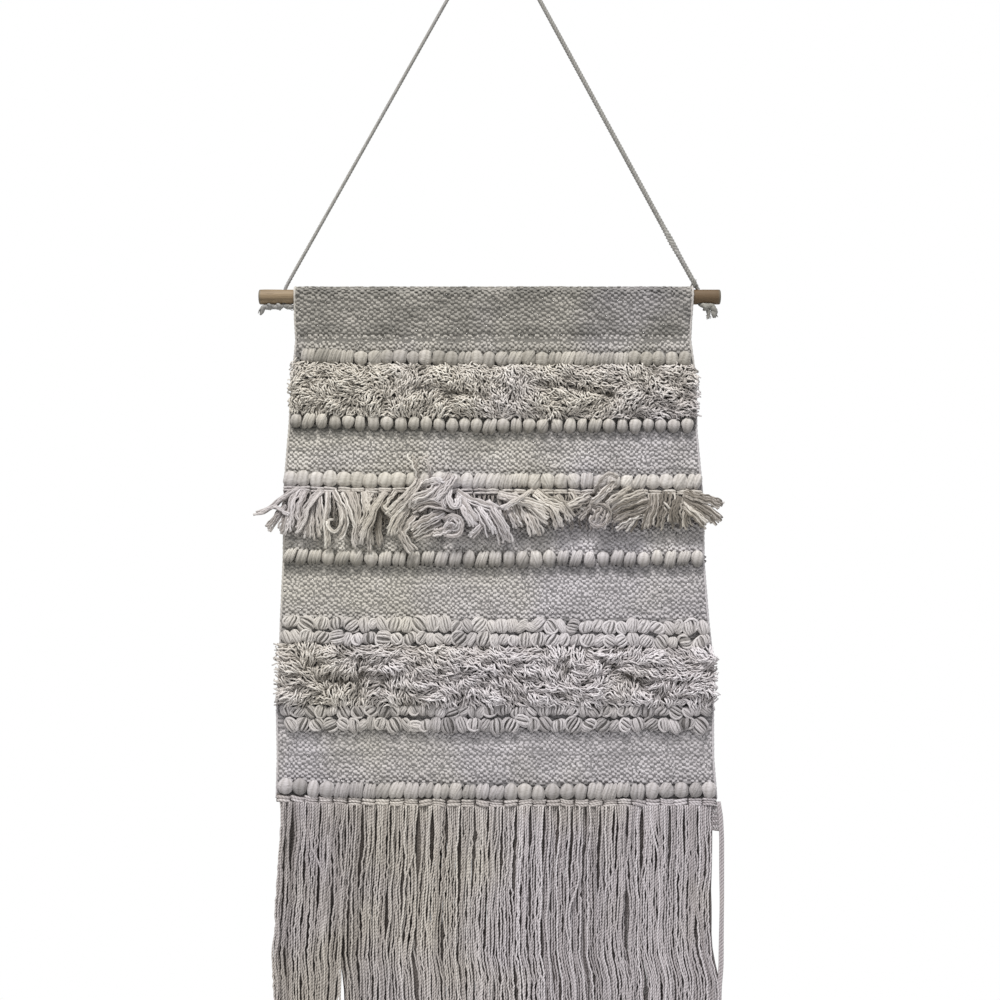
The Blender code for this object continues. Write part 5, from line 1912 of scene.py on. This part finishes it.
@dataclass
class Studio:
    """The camera at the photograph's angle, soft studio light and a pale floor."""

    camera_at: Triple = (0.0062, -1.3846, -0.7037)
    middle: Triple = (0.0, 0.0, -0.75)
    pitch: float = 4.5
    lens: float = 50.0
    floor_z: float = -1.4
    floor_radius: float = 1.05
    floor_sides: int = 96
    white_seen: float = 1.0
    white_light: float = 0.42

    def make_camera(self) -> None:
        """Sets the camera."""
        data = bpy.data.cameras.new("camera")
        data.lens = self.lens
        data.sensor_width = 36.0
        data.sensor_fit = "HORIZONTAL"
        data.clip_start = 0.01
        camera = link("camera", data)
        camera.location = self.camera_at
        camera.rotation_euler = (math.radians(90 + self.pitch), 0, 0)
        bpy.context.scene.camera = camera

    def add_light(self, name: str, at: Triple, size: float, power: float, colour: Colour) -> None:
        """Adds one soft square light that points at the hanging's middle.

        Args:
            name: Its name.
            at: Where it is.
            size: Its side.
            power: Its power in watts.
            colour: Its colour.
        """
        data = bpy.data.lights.new(name, "AREA")
        data.size = size
        data.energy = power
        data.color = colour
        light = link(name, data)
        light.location = at
        aim = np.array(self.middle) - np.array(at)
        tip = math.atan2(math.hypot(aim[0], aim[1]), -aim[2])
        light.rotation_euler = (tip, 0, math.atan2(aim[1], aim[0]) - math.pi / 2)

    def make(self) -> None:
        """Sets the lights, the white surroundings and the floor."""
        scene = bpy.context.scene
        scene.view_settings.view_transform = "Standard"
        scene.view_settings.look = "None"
        self.add_light("key", (-1.1, -2.9, 4.3), 1.5, 330.0, (1.0, 0.985, 0.965))
        self.add_light("fill", (1.4, -2.2, -0.4), 1.4, 10.0, (0.96, 0.98, 1.0))
        world = bpy.data.worlds.new("white_room")
        scene.world = world
        world.use_nodes = True
        tree = world.node_tree
        ray = tree.nodes.new("ShaderNodeLightPath").outputs["Is Camera Ray"]
        strength = tree.nodes.new("ShaderNodeMapRange")
        strength.inputs["To Min"].default_value = self.white_light
        strength.inputs["To Max"].default_value = self.white_seen
        tree.links.new(ray, strength.inputs["Value"])
        sky = tree.nodes["Background"]
        sky.inputs["Color"].default_value = (1, 1, 1, 1)
        tree.links.new(strength.outputs[0], sky.inputs["Strength"])
        self.make_floor()

    def make_floor(self) -> None:
        """Makes the round floor below the hanging."""
        rim = np.linspace(0, TWO_PI, self.floor_sides, endpoint=False)
        ring = [(self.floor_radius * math.cos(a), self.floor_radius * math.sin(a), self.floor_z) for a in rim]
        mesh = bpy.data.meshes.new("floor")
        mesh.from_pydata(ring, [], [list(range(self.floor_sides))])
        mesh.materials.append(FloorFinish().make())
        link("floor", mesh)


LEFT_END = TiedEnd(
    "tied_end_left", "cord_knot_left", 21,
    turns=(
        (-0.2122, 0.0, 0.007, 0.0016), (-0.214, -0.0014, 0.0098, 0.0022), (-0.218, -0.0022, 0.0108, 0.0029),
        (-0.2225, -0.0018, 0.0104, 0.0025), (-0.2262, -0.0018, 0.0108, 0.003),
        (-0.23, -0.0016, 0.0106, 0.0027), (-0.2328, -0.0014, 0.0112, 0.0029),
        (-0.234, -0.0012, 0.0134, 0.0027), (-0.2346, -0.0012, 0.016, 0.0021),
        (-0.2357, -0.0012, 0.0186, 0.0011),
    ),
    tails=(
        (
            (-0.2124, 0.0, 0.0074, 0.0018), (-0.2096, -0.0018, 0.0102, 0.0026),
            (-0.2054, -0.0018, 0.0104, 0.0026), (-0.2014, -0.0014, 0.0106, 0.002),
        ),
        (
            (-0.2186, -0.0006, 0.008, 0.0015), (-0.2172, -0.0046, 0.009, 0.0019),
            (-0.2158, -0.0044, 0.0112, 0.002), (-0.2164, 0.0, 0.0124, 0.0016),
        ),
        (
            (-0.2278, -0.0006, 0.0082, 0.0013), (-0.2266, -0.0046, 0.009, 0.0018),
            (-0.2252, -0.0044, 0.011, 0.0018), (-0.2262, 0.0, 0.0122, 0.0015),
        ),
    ),
    frays=(
        (-0.206, 0.0108, 0.005, 0.0006, 6), (-0.235, 0.014, -0.0014, 0.0036, 6),
        (-0.218, 0.0116, 0.001, 0.001, 4),
    ),
)
RIGHT_END = TiedEnd(
    "tied_end_right", "cord_knot_right", 22,
    turns=(
        (0.2078, 0.0, 0.007, 0.0018), (0.2104, -0.002, 0.0092, 0.0024), (0.215, -0.0028, 0.0096, 0.003),
        (0.22, -0.0024, 0.0106, 0.0033), (0.2224, -0.0018, 0.0142, 0.0034),
        (0.2224, -0.0016, 0.0184, 0.0031), (0.223, -0.0016, 0.021, 0.002),
    ),
    tails=(
        (
            (0.213, -0.0008, 0.0094, 0.002), (0.216, -0.0012, 0.0132, 0.0023),
            (0.2168, -0.0014, 0.0178, 0.0021), (0.216, -0.0014, 0.0224, 0.0014),
        ),
        (
            (0.2096, 0.001, 0.008, 0.0017), (0.2112, -0.0044, 0.0092, 0.0021),
            (0.2138, -0.0042, 0.012, 0.0021), (0.2126, 0.0006, 0.013, 0.0016),
        ),
    ),
    frays=(
        (0.2028, -0.016, -0.0026, 0.0078, 10), (0.2034, -0.015, 0.0014, 0.0066, 8),
        (0.2228, 0.0186, 0.0002, 0.003, 9), (0.2162, 0.02, -0.0004, 0.0028, 5),
    ),
)


@dataclass
class WallHanging:
    """The whole piece, from the cord and rod down to the long fringe."""

    form: ClothForm = ClothForm()
    rod: WoodenRod = WoodenRod()
    cord: HangingCord = HangingCord()
    ends: tuple[TiedEnd, ...] = (LEFT_END, RIGHT_END)

    def rovings(self) -> list[RovingRow]:
        """The five rows of beads.

        Returns:
            The rows, from the top.
        """
        beads = (
            "233314111111211424123223311111",
            "1241111111111112121441421111111",
            "1111111111111122334414211421142",
            "3231341322322132144123412211231",
            "1111333222224222111111232214141",
        )
        tight = {"fill": 1.04, "square": (2.8, 4.4)}
        apart = {"fill": 0.90, "top_painted_light": 0.46, "square": (1.7, 2.6)}
        paler = {"fill": 0.90, "top_painted_light": 0.56, "square": (1.8, 2.8)}
        return [
            RovingRow(1, (0.0603, 0.0622, 0.064, 0.064), (0.02, 0.992), beads[0], 0.0142, 0.0074, 0.31, **tight),
            RovingRow(2, (0.1248, 0.1285, 0.1314, 0.1314), (0.004, 0.992), beads[1], 0.015, 0.0078, 0.44, **apart),
            RovingRow(3, (0.1843, 0.1855, 0.1873, 0.1885), (0.0, 0.996), beads[2], 0.0146, 0.008, 0.6, **tight),
            RovingRow(4, (0.2612, 0.264, 0.265, 0.2648), (0.004, 0.998), beads[3], 0.016, 0.008, 0.44, **paler),
            RovingRow(5, (0.4865, 0.4915, 0.4936, 0.4915), (0.006, 0.998), beads[4], 0.0152, 0.0082, 0.33, top_painted_light=0.16),
        ]

    def loop_rows(self) -> list[LoopRow]:
        """The four rows of loops.

        Returns:
            The rows, from the top.
        """
        return [
            LoopRow(1, (0.3284, 0.329, 0.3312, 0.3334), (0.01, 0.994), 36, 0.0156, 0.0062, 0.3, 0.58),
            LoopRow(2, (0.342, 0.3428, 0.345, 0.3472), (0.008, 0.996), 36, 0.0146, 0.0066, 0.5, 0.54),
            LoopRow(3, (0.414, 0.4144, 0.4144, 0.4144), (0.012, 0.99), 38, 0.0134, 0.0064, 0.4, 0.38),
            LoopRow(4, (0.4272, 0.428, 0.428, 0.4278), (0.024, 0.984), 35, 0.0158, 0.007, 0.5, 0.42),
        ]

    def piles(self) -> list[Pile]:
        """The two bands of pile.

        Returns:
            The upper band, then the lower one.
        """
        return [
            Pile(
                "pile_upper", "shag_upper", 11,
                top=((0.0, 0.066), (0.14, 0.069), (0.5, 0.07), (1.0, 0.07)),
                bottom=((0.0, 0.1165), (0.14, 0.12), (0.5, 0.123), (1.0, 0.123)),
                count=3700, depth=0.0092, length=0.009, crimp=0.52, loose=0.34,
                flow=(
                    (0.0, 200, 215), (0.2, 160, 250), (0.4, -40, -60), (0.6, -50, -70), (0.8, -10, 20),
                    (1.0, -20, -30),
                ),
                clefts=((0.3, 0.45, 0.48, 0.6, 0.1, 0.5), (0.62, 0.35, 0.78, 0.55, 0.1, 0.5)),
                paler=((0.0, 0.08), (0.5, 0.12), (1.0, 0.01)),
            ),
            Pile(
                "pile_lower", "shag_lower", 23,
                top=((0.0, 0.349), (0.14, 0.3496), (0.5, 0.3516), (1.0, 0.3538)),
                bottom=((0.0, 0.408), (0.14, 0.4082), (0.5, 0.4082), (1.0, 0.4082)),
                count=4050, depth=0.0098,
                flow=(
                    (0.0, 170, 200), (0.12, -20, 190), (0.3, 0, -80), (0.5, -25, -50), (0.65, -40, -45),
                    (0.85, 30, 10), (1.0, -40, -20),
                ),
                clefts=(
                    (0.11, 0.6, 0.24, 0.56, 0.16, 0.75), (0.7, 0.05, 0.88, 0.85, 0.12, 0.7),
                    (0.07, 0.3, 0.25, 0.32, 0.08, 0.5),
                ),
                overhang=0.0052, ridge=0.3, combed=(0.3, 0.16),
                paler=((0.0, 0.03), (0.5, 0.08), (1.0, 0.13)),
            ),
        ]

    def make(self) -> None:
        """Builds every piece in order."""
        cord_finish = CORD.make()
        end_finish = CORD_END.make()
        ends = [end.make(end_finish) for end in self.ends]
        self.cord.make(cord_finish, ends)
        self.rod.make()
        GroundCloth(self.form).make()
        roving_finish = ROVING.make()
        for row in self.rovings():
            row.make(self.form, roving_finish)
        loop_finish = LOOPS.make()
        for row in self.loop_rows():
            row.make(self.form, loop_finish)
        pile_finish = PILE.make()
        for pile in self.piles():
            pile.make(self.form, pile_finish)
        MiddleFringe().make(self.form, BRUSHED.make())
        LongFringe().make(self.form, HANGING.make())


def main() -> None:
    """Sets the camera, builds the hanging and lights it."""
    logging.basicConfig(level=logging.INFO, format="%(message)s")
    studio = Studio()
    studio.make_camera()
    WallHanging().make()
    studio.make()


if __name__ == "__main__":
    main()
